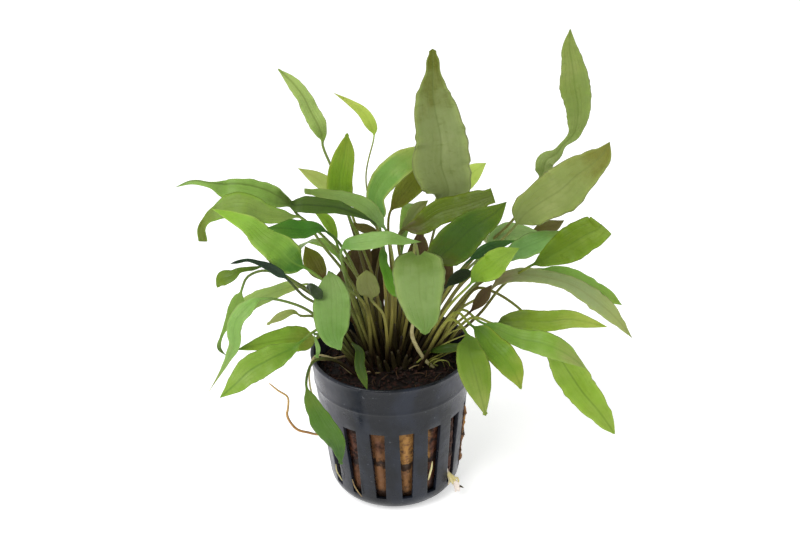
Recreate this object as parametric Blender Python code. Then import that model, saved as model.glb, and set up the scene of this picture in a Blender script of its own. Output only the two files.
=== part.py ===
"""Potted cryptocoryne: a small water plant in a slotted black net pot filled with dark substrate.

The origin is the middle of the pot's base, +Z is up and -Y is the front of the plant.
Lengths are written in millimetres and turned into metres where a mesh is made.
"""
import math

import bmesh
import bpy
from mathutils import Vector

for old in list(bpy.data.objects):
    bpy.data.objects.remove(old, do_unlink=True)

MM = 0.001

# The net pot: a plain upper collar, a slotted wall below it and a rounded bottom edge
POT_HEIGHT = 49.0
RIM_RADIUS = 25.0
BASE_RADIUS = 20.2
BASE_EDGE_RADIUS = 6.0
WALL = 1.2
SLOT_COUNT = 16
SLOT_BOTTOM = 6.2
SLOT_TOP = 32.0
SLOT_HALF_ANGLE_TOP = 5.8
SLOT_HALF_ANGLE_BOTTOM = 4.3
FIRST_SLOT_ANGLE = -12.5
RIDGE_HEIGHT = 40.0
RIDGE_DEPTH = 0.2
RIDGE_SLOPE = 0.6
RIM_ROUNDING = 0.4
FLOOR_CORNER = 1.5

# The substrate plug inside the pot
GAP = 0.3
SOIL_TOP = 44.0
SOIL_EDGE_DROP = 1.2
SOIL_FLAT_RADIUS = 16.0
SOIL_LUMPS = 0.4
SOIL_SIDES = 32

# Leaves
STALK_RADIUS = 0.5
BLADE_THICKNESS = 0.5
BLADE_ONSET = 1.0
BLADE_CUP = 0.10
FACE_LIFT = 0.35
HEXAGON_FLAT = math.sin(math.radians(60.0))
TIP_RADIUS = 0.25
STALK_STEP = 12.0
BLADE_STEP = 7.5

# Roots
ROOT_STEP = 3.0

# Colours of the pieces
POT_BLACK = (0.020, 0.023, 0.028)
SOIL_BROWN = (0.045, 0.022, 0.012)
ROOT_TAN = (0.30, 0.20, 0.09)
ROOT_PALE = (0.52, 0.40, 0.22)
GREEN = (0.16, 0.29, 0.05)
BRIGHT = (0.19, 0.36, 0.05)
OLIVE = (0.17, 0.22, 0.04)
DARK = (0.06, 0.13, 0.03)
DEEP = (0.02, 0.05, 0.02)
PALE = (0.25, 0.40, 0.12)
TEAL = (0.15, 0.32, 0.13)
GREY = (0.24, 0.29, 0.12)
YELLOW = (0.38, 0.47, 0.12)
BROWN = (0.12, 0.08, 0.03)


def paint(obj, colour, roughness):
    """Give an object its own plain material."""
    material = bpy.data.materials.new(obj.name)
    material.use_nodes = True
    shader = material.node_tree.nodes["Principled BSDF"]
    shader.inputs["Base Color"].default_value = (*colour, 1.0)
    shader.inputs["Roughness"].default_value = roughness
    shader.inputs["Metallic"].default_value = 0.0
    obj.data.materials.append(material)


def finish(name, bm, colour, roughness, sharp_degrees):
    """Turn a bmesh in millimetres into a named object in metres, faces outward."""
    bmesh.ops.scale(bm, vec=Vector((MM, MM, MM)), verts=bm.verts)
    bmesh.ops.recalc_face_normals(bm, faces=bm.faces)
    mesh = bpy.data.meshes.new(name)
    bm.to_mesh(mesh)
    bm.free()
    mesh.shade_smooth()
    mesh.set_sharp_from_angle(angle=math.radians(sharp_degrees))
    obj = bpy.data.objects.new(name, mesh)
    bpy.context.collection.objects.link(obj)
    paint(obj, colour, roughness)
    return obj


def outer_radius(z):
    """Radius of the pot's straight tapered outside at a height."""
    return BASE_RADIUS + (RIM_RADIUS - BASE_RADIUS) * z / POT_HEIGHT


def slot_half_angle(z):
    """Half the angle that a slot takes up at a height; the slots narrow downward."""
    share = (z - SLOT_BOTTOM) / (SLOT_TOP - SLOT_BOTTOM)
    share = min(max(share, 0.0), 1.0)
    return SLOT_HALF_ANGLE_BOTTOM + (SLOT_HALF_ANGLE_TOP - SLOT_HALF_ANGLE_BOTTOM) * share


def pot_ring(bm, radius, z):
    """One ring of the pot: each slot's left edge, middle and right edge, then the bar's middle."""
    half = slot_half_angle(z)
    pitch = 360.0 / SLOT_COUNT
    ring = []
    for slot in range(SLOT_COUNT):
        middle = FIRST_SLOT_ANGLE + slot * pitch
        for angle in (middle - half, middle, middle + half, middle + pitch / 2):
            turn = math.radians(angle - 90.0)
            ring.append(bm.verts.new((radius * math.cos(turn), radius * math.sin(turn), z)))
    return ring


def join_rings(bm, lower, upper, slotted=False):
    """Quads between two rings; a slotted band leaves the two quads of every slot out."""
    count = len(lower)
    for i in range(count):
        if slotted and i % 4 in (0, 1):
            continue
        j = (i + 1) % count
        bm.faces.new((lower[i], lower[j], upper[j], upper[i]))


def make_pot():
    """The slotted pot as one closed shell: outside rings up, rim, inside rings down."""
    bm = bmesh.new()
    edge_centre = BASE_RADIUS - BASE_EDGE_RADIUS
    outside = [(edge_centre, 0.0)]
    taper = (RIM_RADIUS - BASE_RADIUS) / POT_HEIGHT
    for degrees in (38.0, 66.0):
        turn = math.radians(degrees)
        rise = BASE_EDGE_RADIUS * (1.0 - math.cos(turn))
        outside.append((edge_centre + BASE_EDGE_RADIUS * math.sin(turn) + taper * rise, rise))
    outside += [
        (outer_radius(SLOT_BOTTOM), SLOT_BOTTOM),
        (outer_radius(SLOT_TOP), SLOT_TOP),
        (outer_radius(RIDGE_HEIGHT - RIDGE_SLOPE), RIDGE_HEIGHT - RIDGE_SLOPE),
        (outer_radius(RIDGE_HEIGHT) + RIDGE_DEPTH, RIDGE_HEIGHT),
        (RIM_RADIUS, POT_HEIGHT - RIM_ROUNDING),
        (RIM_RADIUS - RIM_ROUNDING, POT_HEIGHT),
    ]
    inside = [
        (RIM_RADIUS - WALL, POT_HEIGHT),
        (outer_radius(SLOT_TOP) - WALL, SLOT_TOP),
        (outer_radius(SLOT_BOTTOM) - WALL, SLOT_BOTTOM),
        (edge_centre + FLOOR_CORNER, WALL),
    ]
    out_rings = [pot_ring(bm, radius, z) for radius, z in outside]
    in_rings = [pot_ring(bm, radius, z) for radius, z in inside]
    slot_low = outside.index((outer_radius(SLOT_BOTTOM), SLOT_BOTTOM))
    for i in range(len(out_rings) - 1):
        join_rings(bm, out_rings[i], out_rings[i + 1], slotted=(i == slot_low))
    join_rings(bm, out_rings[-1], in_rings[0])
    join_rings(bm, in_rings[0], in_rings[1])
    join_rings(bm, in_rings[1], in_rings[2], slotted=True)
    join_rings(bm, in_rings[2], in_rings[3])
    floor_out = bm.verts.new((0.0, 0.0, 0.0))
    floor_in = bm.verts.new((0.0, 0.0, WALL))
    columns = len(out_rings[0])
    for i in range(columns):
        j = (i + 1) % columns
        bm.faces.new((floor_out, out_rings[0][j], out_rings[0][i]))
        bm.faces.new((floor_in, in_rings[3][i], in_rings[3][j]))
    out_low, out_high = out_rings[slot_low], out_rings[slot_low + 1]
    in_low, in_high = in_rings[2], in_rings[1]
    for slot in range(SLOT_COUNT):
        left, middle, right = 4 * slot, 4 * slot + 1, 4 * slot + 2
        for side in (left, right):
            bm.faces.new((out_low[side], in_low[side], in_high[side], out_high[side]))
        for a, b in ((left, middle), (middle, right)):
            bm.faces.new((out_low[a], out_low[b], in_low[b], in_low[a]))
            bm.faces.new((out_high[a], in_high[a], in_high[b], out_high[b]))
    finish("pot", bm, POT_BLACK, 0.38, 30.0)


def make_substrate():
    """The dark plug that fills the pot and shows through its slots, with a slightly lumpy top."""
    bm = bmesh.new()
    sides = [
        (BASE_RADIUS - BASE_EDGE_RADIUS + FLOOR_CORNER - GAP, WALL + GAP, 0.0),
        (outer_radius(SLOT_BOTTOM) - WALL - 1.5 * GAP, SLOT_BOTTOM + GAP, 0.0),
        (outer_radius(SOIL_TOP) - WALL - 1.5 * GAP, SOIL_TOP - SOIL_EDGE_DROP, SOIL_LUMPS),
        (SOIL_FLAT_RADIUS, SOIL_TOP, 0.0),
    ]
    rings = []
    for radius, z, lumps in sides:
        ring = []
        for i in range(SOIL_SIDES):
            turn = 2.0 * math.pi * i / SOIL_SIDES
            rise = lumps * (math.sin(3.0 * turn) + 0.6 * math.cos(7.0 * turn + 1.0))
            ring.append(bm.verts.new((radius * math.cos(turn), radius * math.sin(turn), z + rise)))
        rings.append(ring)
    for lower, upper in zip(rings, rings[1:]):
        join_rings(bm, lower, upper)
    bm.faces.new(rings[0])
    bm.faces.new(rings[-1])
    finish("substrate", bm, SOIL_BROWN, 0.9, 40.0)


def smooth_course(points, pieces):
    """Read a smooth curve through points (x, y, z, width); pieces says how finely each span is cut.

    The curve is a Catmull-Rom spline whose parameter grows with the square root of each span.
    """
    knots = [0.0]
    for a, b in zip(points, points[1:]):
        knots.append(knots[-1] + math.sqrt((b - a).xyz.length))
    slopes = []
    for i in range(len(points)):
        before, after = max(i - 1, 0), min(i + 1, len(points) - 1)
        if before == i or after == i:
            slopes.append((points[after] - points[before]) / (knots[after] - knots[before]))
            continue
        back = (points[i] - points[before]) / (knots[i] - knots[before])
        ahead = (points[after] - points[i]) / (knots[after] - knots[i])
        span_back, span_ahead = knots[i] - knots[before], knots[after] - knots[i]
        slopes.append((back * span_ahead + ahead * span_back) / (span_back + span_ahead))
    course = []
    for i, count in enumerate(pieces):
        span = knots[i + 1] - knots[i]
        for step in range(count):
            s = step / count
            course.append(
                (2 * s**3 - 3 * s**2 + 1) * points[i]
                + (s**3 - 2 * s**2 + s) * span * slopes[i]
                + (3 * s**2 - 2 * s**3) * points[i + 1]
                + (s**3 - s**2) * span * slopes[i + 1]
            )
    course.append(points[-1].copy())
    return course


def skin(bm, rings):
    """Quads along a row of six-sided rings, with a cap at each end."""
    made = [[bm.verts.new(point) for point in ring] for ring in rings]
    for lower, upper in zip(made, made[1:]):
        join_rings(bm, lower, upper)
    bm.faces.new(made[0])
    bm.faces.new(made[-1])


def make_leaf(name, colour, face, root, stalk, blade, tip):
    """One leaf: a round stalk from the soil that widens into a thin, slightly cupped blade.

    root is the stalk's place on the soil. stalk holds the points that the stalk passes, the last
    one the blade's base. blade holds points of the midrib with the blade's full width there.
    face is the way the blade looks.
    """
    points = [Vector((*root, SOIL_TOP + GAP, 0.0))]
    points += [Vector((*point, 0.0)) for point in stalk]
    base = len(points) - 1
    points += [Vector(point) for point in blade]
    points.append(Vector((*tip, 0.0)))
    pieces = []
    for i, (a, b) in enumerate(zip(points, points[1:])):
        step = STALK_STEP if i < base else BLADE_STEP
        pieces.append(max(1, math.ceil((b - a).xyz.length / step)))
    course = smooth_course(points, pieces)
    blade_start = sum(pieces[:base])
    looks = Vector(face).normalized()
    rings = []
    side = None
    for i in range(len(course) - 1, -1, -1):
        here = course[i].xyz
        along = (course[min(i + 1, len(course) - 1)].xyz - course[max(i - 1, 0)].xyz).normalized()
        across = along.cross(looks).normalized()
        if side is not None and across.dot(side) < 0:
            across = -across
        side = across
        up = across.cross(along)
        half = STALK_RADIUS if i < blade_start else max(STALK_RADIUS, course[i].w / 2)
        flat = min((half - STALK_RADIUS) / BLADE_ONSET, 1.0)
        thick = STALK_RADIUS * (1 - flat) + BLADE_THICKNESS / 2 * flat
        if i == len(course) - 1:
            half, thick = TIP_RADIUS, TIP_RADIUS
        cup = BLADE_CUP * max(half - STALK_RADIUS, 0.0)
        top = up * (FACE_LIFT * cup + HEXAGON_FLAT * thick)
        bottom = up * (FACE_LIFT * cup - HEXAGON_FLAT * thick)
        edge = up * cup
        rings.append([
            here - across * half + edge,
            here - across * half / 2 + top,
            here + across * half / 2 + top,
            here + across * half + edge,
            here + across * half / 2 + bottom,
            here - across * half / 2 + bottom,
        ])
    for point in rings[-1]:
        point.z = SOIL_TOP + GAP
    bm = bmesh.new()
    skin(bm, rings)
    finish("leaf_" + name, bm, colour, 0.45, 60.0)


def make_root(name, colour, points):
    """A root: a six-sided tube along a smooth curve; points are x, y, z and the root's radius."""
    points = [Vector(point) for point in points]
    spans = [(b - a).xyz.length for a, b in zip(points, points[1:])]
    pieces = [max(1, math.ceil(span / ROOT_STEP)) for span in spans]
    course = smooth_course(points, pieces)
    across = Vector((0.0, 1.0, 0.0))
    rings = []
    for i, here in enumerate(course):
        along = (course[min(i + 1, len(course) - 1)].xyz - course[max(i - 1, 0)].xyz).normalized()
        up = along.cross(across).normalized()
        across = up.cross(along).normalized()
        ring = []
        for corner in range(6):
            turn = math.radians(60 * corner)
            ring.append(here.xyz + (across * math.cos(turn) + up * math.sin(turn)) * here.w)
        rings.append(ring)
    bm = bmesh.new()
    skin(bm, rings)
    finish(name, bm, colour, 0.7, 60.0)


# Every leaf, in millimetres, set out by hand to follow the plant's habit:
# name, colour, way the blade looks, root on the soil, stalk points, midrib points with widths, tip
LEAVES = [
    # The front of the pot
    ("heart_front", PALE, (0, -0.8, 0.6), (2, -1.5), [(7, -3, 70), (8, -9, 89)],
     [(9, -15, 88, 7.5), (9, -18, 86, 13), (9, -21, 84, 14), (9, -26, 82, 12), (9, -30, 80, 9.5),
      (10, -33, 77, 6)], (10, -35, 75)),
    ("pale_front_left", PALE, (0, -0.85, 0.5), (-6, -4), [(-6, -9, 63), (-12, -11, 77), (-15, -13, 82)],
     [(-16, -17, 82, 5.5), (-16, -22, 80, 9.5), (-16, -27, 77, 10.5), (-16, -31, 75, 9),
      (-14, -34, 72, 5)], (-13, -36, 71)),
    ("rim_left", DARK, (-0.3, -0.95, 0.1), (-10, -7.5), [(-17, -10, 51), (-23, -17, 55), (-25, -22, 51)],
     [(-24, -24, 47, 4), (-22, -26, 43, 6.5), (-20, -27, 39, 8), (-17, -27, 33, 6)], (-16, -26, 24)),
    ("rim_small", DARK, (0, -0.9, 0.3), (-5, -7), [(-11, -17, 61)],
     [(-9, -20, 60, 2.5), (-9, -23, 57, 3), (-8, -25, 54, 2.5)], (-7, -27, 51)),
    # The right side, from the lowest leaf to the highest
    ("right_hanging", GREEN, (0.1, -0.9, 0.4), (8, -5.5), [(18, -10, 64), (22, -17, 64)],
     [(23, -20, 62, 5), (23, -24, 61, 8), (24, -27, 57, 9.5), (25, -29, 53, 8),
      (26, -31, 49, 4.5)], (27, -32, 44)),
    ("right_second", OLIVE, (0.1, -0.8, 0.6), (9, -3.5), [(20, -6, 64), (24, -12, 63)],
     [(27, -15, 62, 5), (30, -18, 59, 7.5), (33, -21, 57, 8), (36, -23, 53, 6)], (38, -25, 48)),
    ("right_low", GREEN, (0.1, -0.7, 0.7), (12, -2.5), [(22, -1, 62), (27, -5, 60)],
     [(32, -8, 59, 4), (39, -11, 57, 6), (45, -14, 57, 7.5), (51, -16, 55, 6.5)], (58, -18, 50)),
    ("right_lowest", GREEN, (0.15, -0.8, 0.55), (14, 2),
     [(27, 10, 63), (32, 10, 62), (41, 8, 56), (48, 2, 48)],
     [(51, -2, 46, 7), (55, -4, 40, 10.5), (59, -6, 34, 10), (64, -8, 28, 7.5),
      (67, -10, 24, 4.5)], (69, -11, 21)),
    ("right_level", OLIVE, (0, -0.8, 0.6), (13, -1), [(25, -1, 59), (32, 0, 56)],
     [(35, -1, 57, 4), (40, -2, 58, 6.5), (47, -3, 58, 6.5), (55, -4, 59, 5.5),
      (61, -5, 58, 3)], (66, -6, 57)),
    ("right_long_arch", GREY, (0.2, -0.75, 0.65), (10.5, 3), [(21, 5, 58), (30, 5, 64)],
     [(35, 5, 69, 3.5), (41, 5, 70, 4.5), (48, 5, 69, 4.5), (56, 5, 66, 5), (64, 5, 60, 6.5),
      (70, 5, 54, 4.5)], (76, 5, 46)),
    ("right_arch_back", GREEN, (0.2, -0.6, 0.75), (12, 5), [(29, 14, 63), (47, 14, 67)],
     [(52, 14, 66, 4), (59, 14, 63, 6), (65, 14, 59, 6), (70, 14, 56, 4)], (74, 14, 53)),
    ("right_big_green", OLIVE, (0, -0.8, 0.6), (10.5, 0.5), [(28, 2, 55), (34, 2, 63), (43, 1, 74)],
     [(46, 2, 76, 3.5), (50, 1, 79, 7.5), (54, 0, 82, 10.5), (59, -1, 86, 10),
      (62, -2, 88, 8)], (63, -3, 90)),
    ("right_teal", TEAL, (0.1, -0.5, 0.87), (9, 5), [(25, 9, 63), (34, 10, 71)],
     [(38, 11, 74, 5), (43, 12, 76, 8), (49, 13, 78, 6)], (56, 14, 80)),
    ("right_bright", BRIGHT, (0.1, -0.75, 0.65), (7, -1.5), [(18, -4, 65), (24, -6, 73)],
     [(27, -8, 78, 6), (30, -10, 81, 8), (33, -12, 85, 6.5)], (38, -14, 89)),
    ("right_deep", DEEP, (0.1, -0.6, 0.8), (6, 0.5), [(13, 0, 63), (17, 0, 69)],
     [(20, 0, 72, 3.5), (23, -1, 74, 4)], (26, -2, 75)),
    ("right_dark", DARK, (0.1, -0.6, 0.8), (7.5, 1.5), [(16, 3, 63), (24, 3, 76)],
     [(28, 3, 79, 3.5), (32, 3, 81, 3.5)], (39, 3, 83)),
    # The middle, with the tall leaves and those that show behind them
    ("dark_centre", DARK, (0.15, -0.85, 0.5), (4, -1), [(12, -3, 67), (14, -5, 78)],
     [(16, -6, 83, 9), (20, -6, 87, 11.5), (25, -6, 92, 10), (31, -6, 96, 6)], (35, -6, 100)),
    ("olive_centre", OLIVE, (0.1, -0.8, 0.6), (2, 2.5), [(5, 2, 68), (4, 5, 86)],
     [(10, 5, 88, 6), (16, 5, 92, 7.5), (23, 5, 94, 7), (29, 5, 96, 5.5)], (32, 5, 97)),
    ("grey_centre", GREY, (-0.2, -0.9, 0.4), (1.5, 4.5), [(4, 8, 68), (4, 11, 81)],
     [(7, 12, 86, 3.5), (10, 13, 90, 4)], (13, 14, 92)),
    ("tall_centre", GREY, (0.05, -0.95, 0.3), (4, 3), [(10, 8, 66), (16, 10, 89)],
     [(19, 10, 96, 12), (17, 10, 105, 17), (17, 10, 113, 15.5), (15, 10, 126, 11), (15, 10, 134, 4.5),
      (15, 10, 138, 3.5)], (15, 10, 141)),
    ("left_of_centre", TEAL, (0.1, -0.9, 0.5), (-1, 3.5), [(0, 6, 69), (-2, 8, 87)],
     [(-2, 9, 90, 4), (-3, 10, 95, 5.5), (-1, 12, 99, 7.5), (3, 13, 103, 8),
      (8, 15, 106, 6.5)], (12, 17, 109)),
    ("olive_behind", OLIVE, (0.1, -0.9, 0.4), (0.5, 6), [(1, 12, 68), (1, 18, 86)],
     [(4, 19, 90, 5), (8, 20, 95, 8), (12, 21, 100, 7.5)], (14, 22, 106)),
    ("tall_right_twisted", GREY, (0.1, -0.9, 0.35), (6, 7.5), [(24, 24, 68), (47, 18, 96)],
     [(48, 18, 98, 4.5), (49, 18, 102, 5.5), (52, 18, 104, 3.5), (54, 18, 107, 2), (57, 18, 110, 3.5),
      (58, 18, 114, 6), (58, 18, 120, 8), (57, 18, 125, 9.5), (56, 18, 132, 7),
      (55, 18, 137, 5)], (55, 18, 143)),
    ("right_broad", GREY, (0, -0.95, 0.3), (8, 3), [(21, 10, 63), (39, 12, 83)],
     [(42, 12, 87, 9.5), (47, 12, 91, 12), (53, 12, 95, 14.5), (57, 12, 99, 12.5), (62, 12, 103, 9),
      (65, 12, 106, 6)], (67, 12, 110)),
    ("brown_behind_right", BROWN, (0, -0.8, 0.6), (11, 8), [(23, 20, 59), (45, 26, 73)],
     [(49, 27, 75, 3), (53, 28, 75, 4)], (57, 30, 76)),
    ("pale_behind_right", TEAL, (0, -0.8, 0.6), (9, 7), [(17, 15, 58), (31, 18, 72)],
     [(33, 19, 74, 4.5), (37, 20, 77, 6.5), (42, 21, 77, 4.5)], (48, 22, 76)),
    ("yellow_behind", YELLOW, (0.1, -0.9, 0.4), (3.5, 7.5), [(8, 18, 66), (14, 25, 82)],
     [(17, 26, 85, 4.5), (23, 28, 90, 6.5), (28, 30, 94, 5.5)], (32, 32, 96)),
    # The upper left
    ("upright_left", BRIGHT, (0.1, -0.95, 0.2), (-2.5, 2), [(-4, 5, 68), (-11, 5, 92)],
     [(-13, 4, 99, 7), (-13, 3, 105, 7.5), (-11, 2, 114, 5.5)], (-10, 1, 120)),
    ("small_behind_left", GREY, (0, -0.8, 0.6), (-3, 6), [(-6, 14, 65), (-12, 20, 89)],
     [(-16, 22, 93, 4.5), (-21, 24, 96, 4.5)], (-27, 26, 99)),
    ("tall_left", GREEN, (0.25, -0.9, 0.3), (-3.5, 4), [(-7, 9, 70), (-15, 13, 102), (-18, 14, 111)],
     [(-18, 15, 113, 2.5), (-19, 15, 117, 5), (-21, 16, 121, 5), (-23, 16, 126, 4.5),
      (-26, 17, 130, 3.5)], (-30, 18, 134)),
    ("small_high_left", YELLOW, (-0.3, -0.9, 0.3), (-1, 7.5),
     [(-1, 20, 67), (-6, 27, 94), (-3, 29, 107)],
     [(-3, 29, 109, 2.5), (-4, 29, 112, 4), (-6, 30, 115, 3.5), (-10, 31, 118, 2)], (-15, 32, 121)),
    ("grey_upper", TEAL, (0, -0.6, 0.8), (0.5, 0), [(2, 1, 72), (0, 0, 89)],
     [(-2, 0, 92, 4), (-5, -1, 97, 5), (-10, -1, 100, 4.5), (-15, -2, 102, 3.5),
      (-20, -2, 103, 2.5)], (-23, -3, 104)),
    ("grey_lower", DARK, (0, -0.6, 0.8), (-1.5, 0.5), [(-1, -2, 72), (-3, -4, 93)],
     [(-6, -5, 96, 1.5), (-10, -5, 98, 3), (-14, -6, 100, 4.5), (-18, -7, 101, 5), (-23, -8, 102, 5.5),
      (-26, -8, 102, 3.5)], (-27, -9, 104)),
    ("left_long", GREEN, (-0.1, -0.7, 0.7), (-5, 2), [(-8, 3, 69), (-18, 2, 86), (-26, 1, 95)],
     [(-28, 0, 99, 2.5), (-31, -1, 101, 5.5), (-35, -1, 103, 6.5), (-42, -2, 105, 6.5),
      (-46, -2, 105, 5.5), (-50, -3, 107, 2), (-55, -3, 108, 1.5)], (-60, -4, 107)),
    ("left_curled", GREY, (-0.2, -0.7, 0.7), (-4.5, 0), [(-10, -1, 70), (-19, -5, 88), (-24, -8, 98)],
     [(-28, -9, 99, 2.5), (-32, -10, 100, 3.5), (-36, -11, 102, 5.5), (-39, -12, 104, 7.5),
      (-43, -12, 104, 8), (-47, -13, 103, 5), (-50, -13, 101, 3), (-52, -13, 98, 2.5)], (-52, -13, 94)),
    ("left_bright", BRIGHT, (-0.1, -0.8, 0.6), (-6, -0.5), [(-13, -3, 68), (-20, -4, 76), (-24, -5, 80)],
     [(-26, -5, 81, 4.5), (-28, -6, 83, 8.5), (-31, -8, 88, 9.5), (-35, -12, 94, 7.5),
      (-38, -16, 100, 5.5), (-42, -17, 103, 3.5)], (-48, -17, 106)),
    ("left_deep", DARK, (0, -0.6, 0.8), (-3, -1.5), [(-8, -4, 73), (-13, -9, 89), (-16, -13, 95)],
     [(-19, -15, 98, 3), (-23, -16, 98, 6), (-27, -17, 99, 5.5)], (-33, -18, 100)),
    # Short leaves between the stalks
    ("olive_left", OLIVE, (0, -0.95, 0.3), (-7.5, 3), [(-12, 4, 60), (-19, 6, 69)],
     [(-21, 6, 73, 5), (-23, 7, 77, 6)], (-25, 8, 81)),
    ("grey_crossing", TEAL, (0, -0.7, 0.7), (-3.5, -3.5), [(-10, -3, 64), (-13, -12, 89)],
     [(-11, -14, 92, 3.5), (-7, -15, 93, 5), (-3, -16, 94, 5), (1, -17, 95, 4),
      (5, -17, 94, 2.5)], (10, -18, 94)),
    ("small_round", GREY, (0, -0.95, 0.3), (-1.5, -4), [(-1, -9, 60), (-2, -10, 67), (-5, -11, 72)],
     [(-5, -11, 74, 5), (-6, -11, 77, 6.5), (-6, -11, 80, 5)], (-6, -11, 82)),
    ("thin_bright", BRIGHT, (0.2, -0.9, 0.3), (-1, -1.5), [(1, -4, 70), (-1, -4, 84), (-1, -7, 87)],
     [(-1, -11, 87, 2.5), (-1, -13, 85, 2.5), (0, -14, 82, 3), (1, -15, 79, 3.5),
      (2, -16, 77, 2.5)], (4, -16, 75)),
    ("brown_behind", BROWN, (0, -0.95, 0.3), (-5.5, 7.5), [(-8, 12, 53), (-10, 14, 62)],
     [(-12, 14, 66, 4.5), (-12, 15, 70, 5.5)], (-12, 16, 75)),
    # The far left and the low left
    ("far_left_edge", DEEP, (-0.3, -0.8, 0.5), (-8, -1.5),
     [(-18, -8, 67), (-25, -9, 73), (-29, -10, 79)],
     [(-31, -10, 81, 2.5), (-34, -11, 84, 2.5), (-37, -12, 86, 1.5), (-40, -12, 87, 1),
      (-43, -13, 87, 1)], (-45, -14, 87)),
    ("far_left_small", GREEN, (-0.2, -0.6, 0.8), (-9, 1.5), [(-20, 0, 66), (-28, 0, 73), (-36, -1, 79)],
     [(-40, -2, 79, 1.5), (-44, -3, 79, 2), (-46, -4, 78, 4), (-49, -4, 77, 5),
      (-50, -4, 76, 3.5)], (-51, -4, 74)),
    ("left_droop_back", TEAL, (-0.3, -0.9, 0.3), (-11.5, 3),
     [(-19, 5, 61), (-26, 6, 67), (-32, 6, 72), (-38, 6, 74), (-43, 6, 72), (-45, 6, 68)],
     [(-46, 6, 65, 3.5), (-48, 6, 61, 4), (-51, 6, 55, 2), (-53, 6, 51, 1),
      (-54, 6, 47, 1.5)], (-52, 6, 44)),
    ("left_pale", GREEN, (-0.1, -0.7, 0.7), (-10, 5), [(-18, 9, 61), (-25, 11, 66)],
     [(-28, 12, 65, 2), (-32, 13, 64, 4), (-37, 13, 62, 4.5), (-42, 13, 60, 5.5),
      (-47, 14, 56, 4.5)], (-53, 14, 49)),
    ("left_long_droop", TEAL, (-0.3, -0.85, 0.4), (-10.5, -0.5),
     [(-23, -4, 64), (-29, -6, 69), (-36, -8, 72)],
     [(-39, -9, 72, 2.5), (-42, -10, 70, 4.5), (-45, -11, 67, 5), (-46, -12, 64, 4.5),
      (-46, -13, 60, 4), (-48, -14, 56, 2.5), (-51, -15, 51, 1)], (-55, -16, 45)),
    ("left_tiny", OLIVE, (0, -0.8, 0.6), (-9.5, -3.5), [(-22, -8, 65), (-26, -12, 68)],
     [(-28, -13, 70, 1.5), (-32, -14, 69, 2.5)], (-36, -15, 67)),
    ("low_left_back", OLIVE, (-0.1, -0.75, 0.65), (-12, -2), [(-19, 2, 55), (-22, -3, 55)],
     [(-25, -4, 55, 6), (-28, -5, 56, 8), (-33, -7, 57, 7), (-39, -9, 57, 4.5)], (-46, -12, 57)),
    ("low_left_front", GREEN, (-0.2, -0.8, 0.55), (-8, -5.5), [(-20, -13, 64), (-25, -17, 63)],
     [(-28, -18, 61, 3), (-32, -20, 60, 6.5), (-36, -22, 59, 8), (-41, -24, 57, 8),
      (-45, -26, 54, 5.5)], (-50, -27, 50)),
    # Two half-hidden leaves
    ("brown_right", BROWN, (0, -0.9, 0.4), (10, -2), [(19, -6, 59), (24, -5, 63)],
     [(27, -4, 66, 3.5), (29, -4, 69, 3.5)], (31, -4, 72)),
    ("light_left", YELLOW, (0, -0.8, 0.6), (-5.5, 4), [(-13, 5, 74), (-15, 7, 81)],
     [(-16, 8, 85, 2.5), (-18, 9, 89, 3.5)], (-22, 10, 92)),
    # Leaves that arch away at the back
    ("back_arching", GREEN, (0, 0, 1), (1.5, 10.5), [(4, 24, 66)],
     [(6, 32, 76, 7), (9, 46, 76, 9)], (11, 58, 64)),
    ("back_left_droop", GREEN, (0, 0, 1), (-5.5, 11), [(-12, 23, 60)],
     [(-17, 31, 67, 6), (-26, 41, 66, 8)], (-34, 50, 54)),
    ("back_right_droop", DARK, (0, 0, 1), (6, 10), [(15, 23, 61)],
     [(20, 31, 69, 6), (29, 41, 68, 8.5)], (36, 49, 56)),
    ("back_low", DARK, (0, 0, 1), (-2, 14), [(-3, 26, 52)],
     [(-5, 34, 56, 6), (-8, 44, 52, 7.5)], (-10, 54, 42)),
]

make_pot()
make_substrate()
for row in LEAVES:
    make_leaf(*row)
make_root("side_root", ROOT_TAN, [
    (-20.5, -4.6, 20.0, 0.5), (-26, -6, 22, 0.5), (-31, -6, 23, 0.5),
    (-33, -5, 28, 0.5), (-33, -4, 34, 0.4), (-38, -3, 39, 0.3),
])
make_root("root_tuft", ROOT_PALE, [
    (16.9, -10.8, 9.5, 0.7), (18.6, -12.0, 8.6, 1.1), (20.0, -13.2, 7.0, 1.2), (21.4, -14.0, 4.8, 0.4),
])
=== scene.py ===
"""The look of a potted cryptocoryne, a small water plant in a slotted black net pot.

The plant's lengths are written in millimetres and turned into metres where a mesh is made.
The places of the camera and of the studio are in metres.
The origin is the middle of the pot's base, +Z is up and -Y is the front of the plant.
"""

import bpy
import numpy as np
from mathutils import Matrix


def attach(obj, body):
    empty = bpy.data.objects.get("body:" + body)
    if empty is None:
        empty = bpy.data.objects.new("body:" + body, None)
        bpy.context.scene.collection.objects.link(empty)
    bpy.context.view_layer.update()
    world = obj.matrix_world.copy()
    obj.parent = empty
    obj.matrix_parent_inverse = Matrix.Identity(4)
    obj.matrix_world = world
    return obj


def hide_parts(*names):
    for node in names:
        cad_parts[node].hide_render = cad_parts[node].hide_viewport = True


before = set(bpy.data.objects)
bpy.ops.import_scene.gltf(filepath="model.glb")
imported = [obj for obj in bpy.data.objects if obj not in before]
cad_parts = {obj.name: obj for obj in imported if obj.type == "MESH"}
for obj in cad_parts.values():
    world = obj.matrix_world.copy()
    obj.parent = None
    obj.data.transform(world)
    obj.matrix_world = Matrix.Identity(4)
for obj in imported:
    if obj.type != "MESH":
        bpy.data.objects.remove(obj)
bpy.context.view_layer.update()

# The camera stands in front of the plant and a little above it, and looks down on the pot. Its
# numbers were fitted to the pot's outline in the photograph, a frame of 800 by 533 pixels.
FRAME_WIDTH = 800
FOCAL_PIXELS = 1268.7
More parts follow.
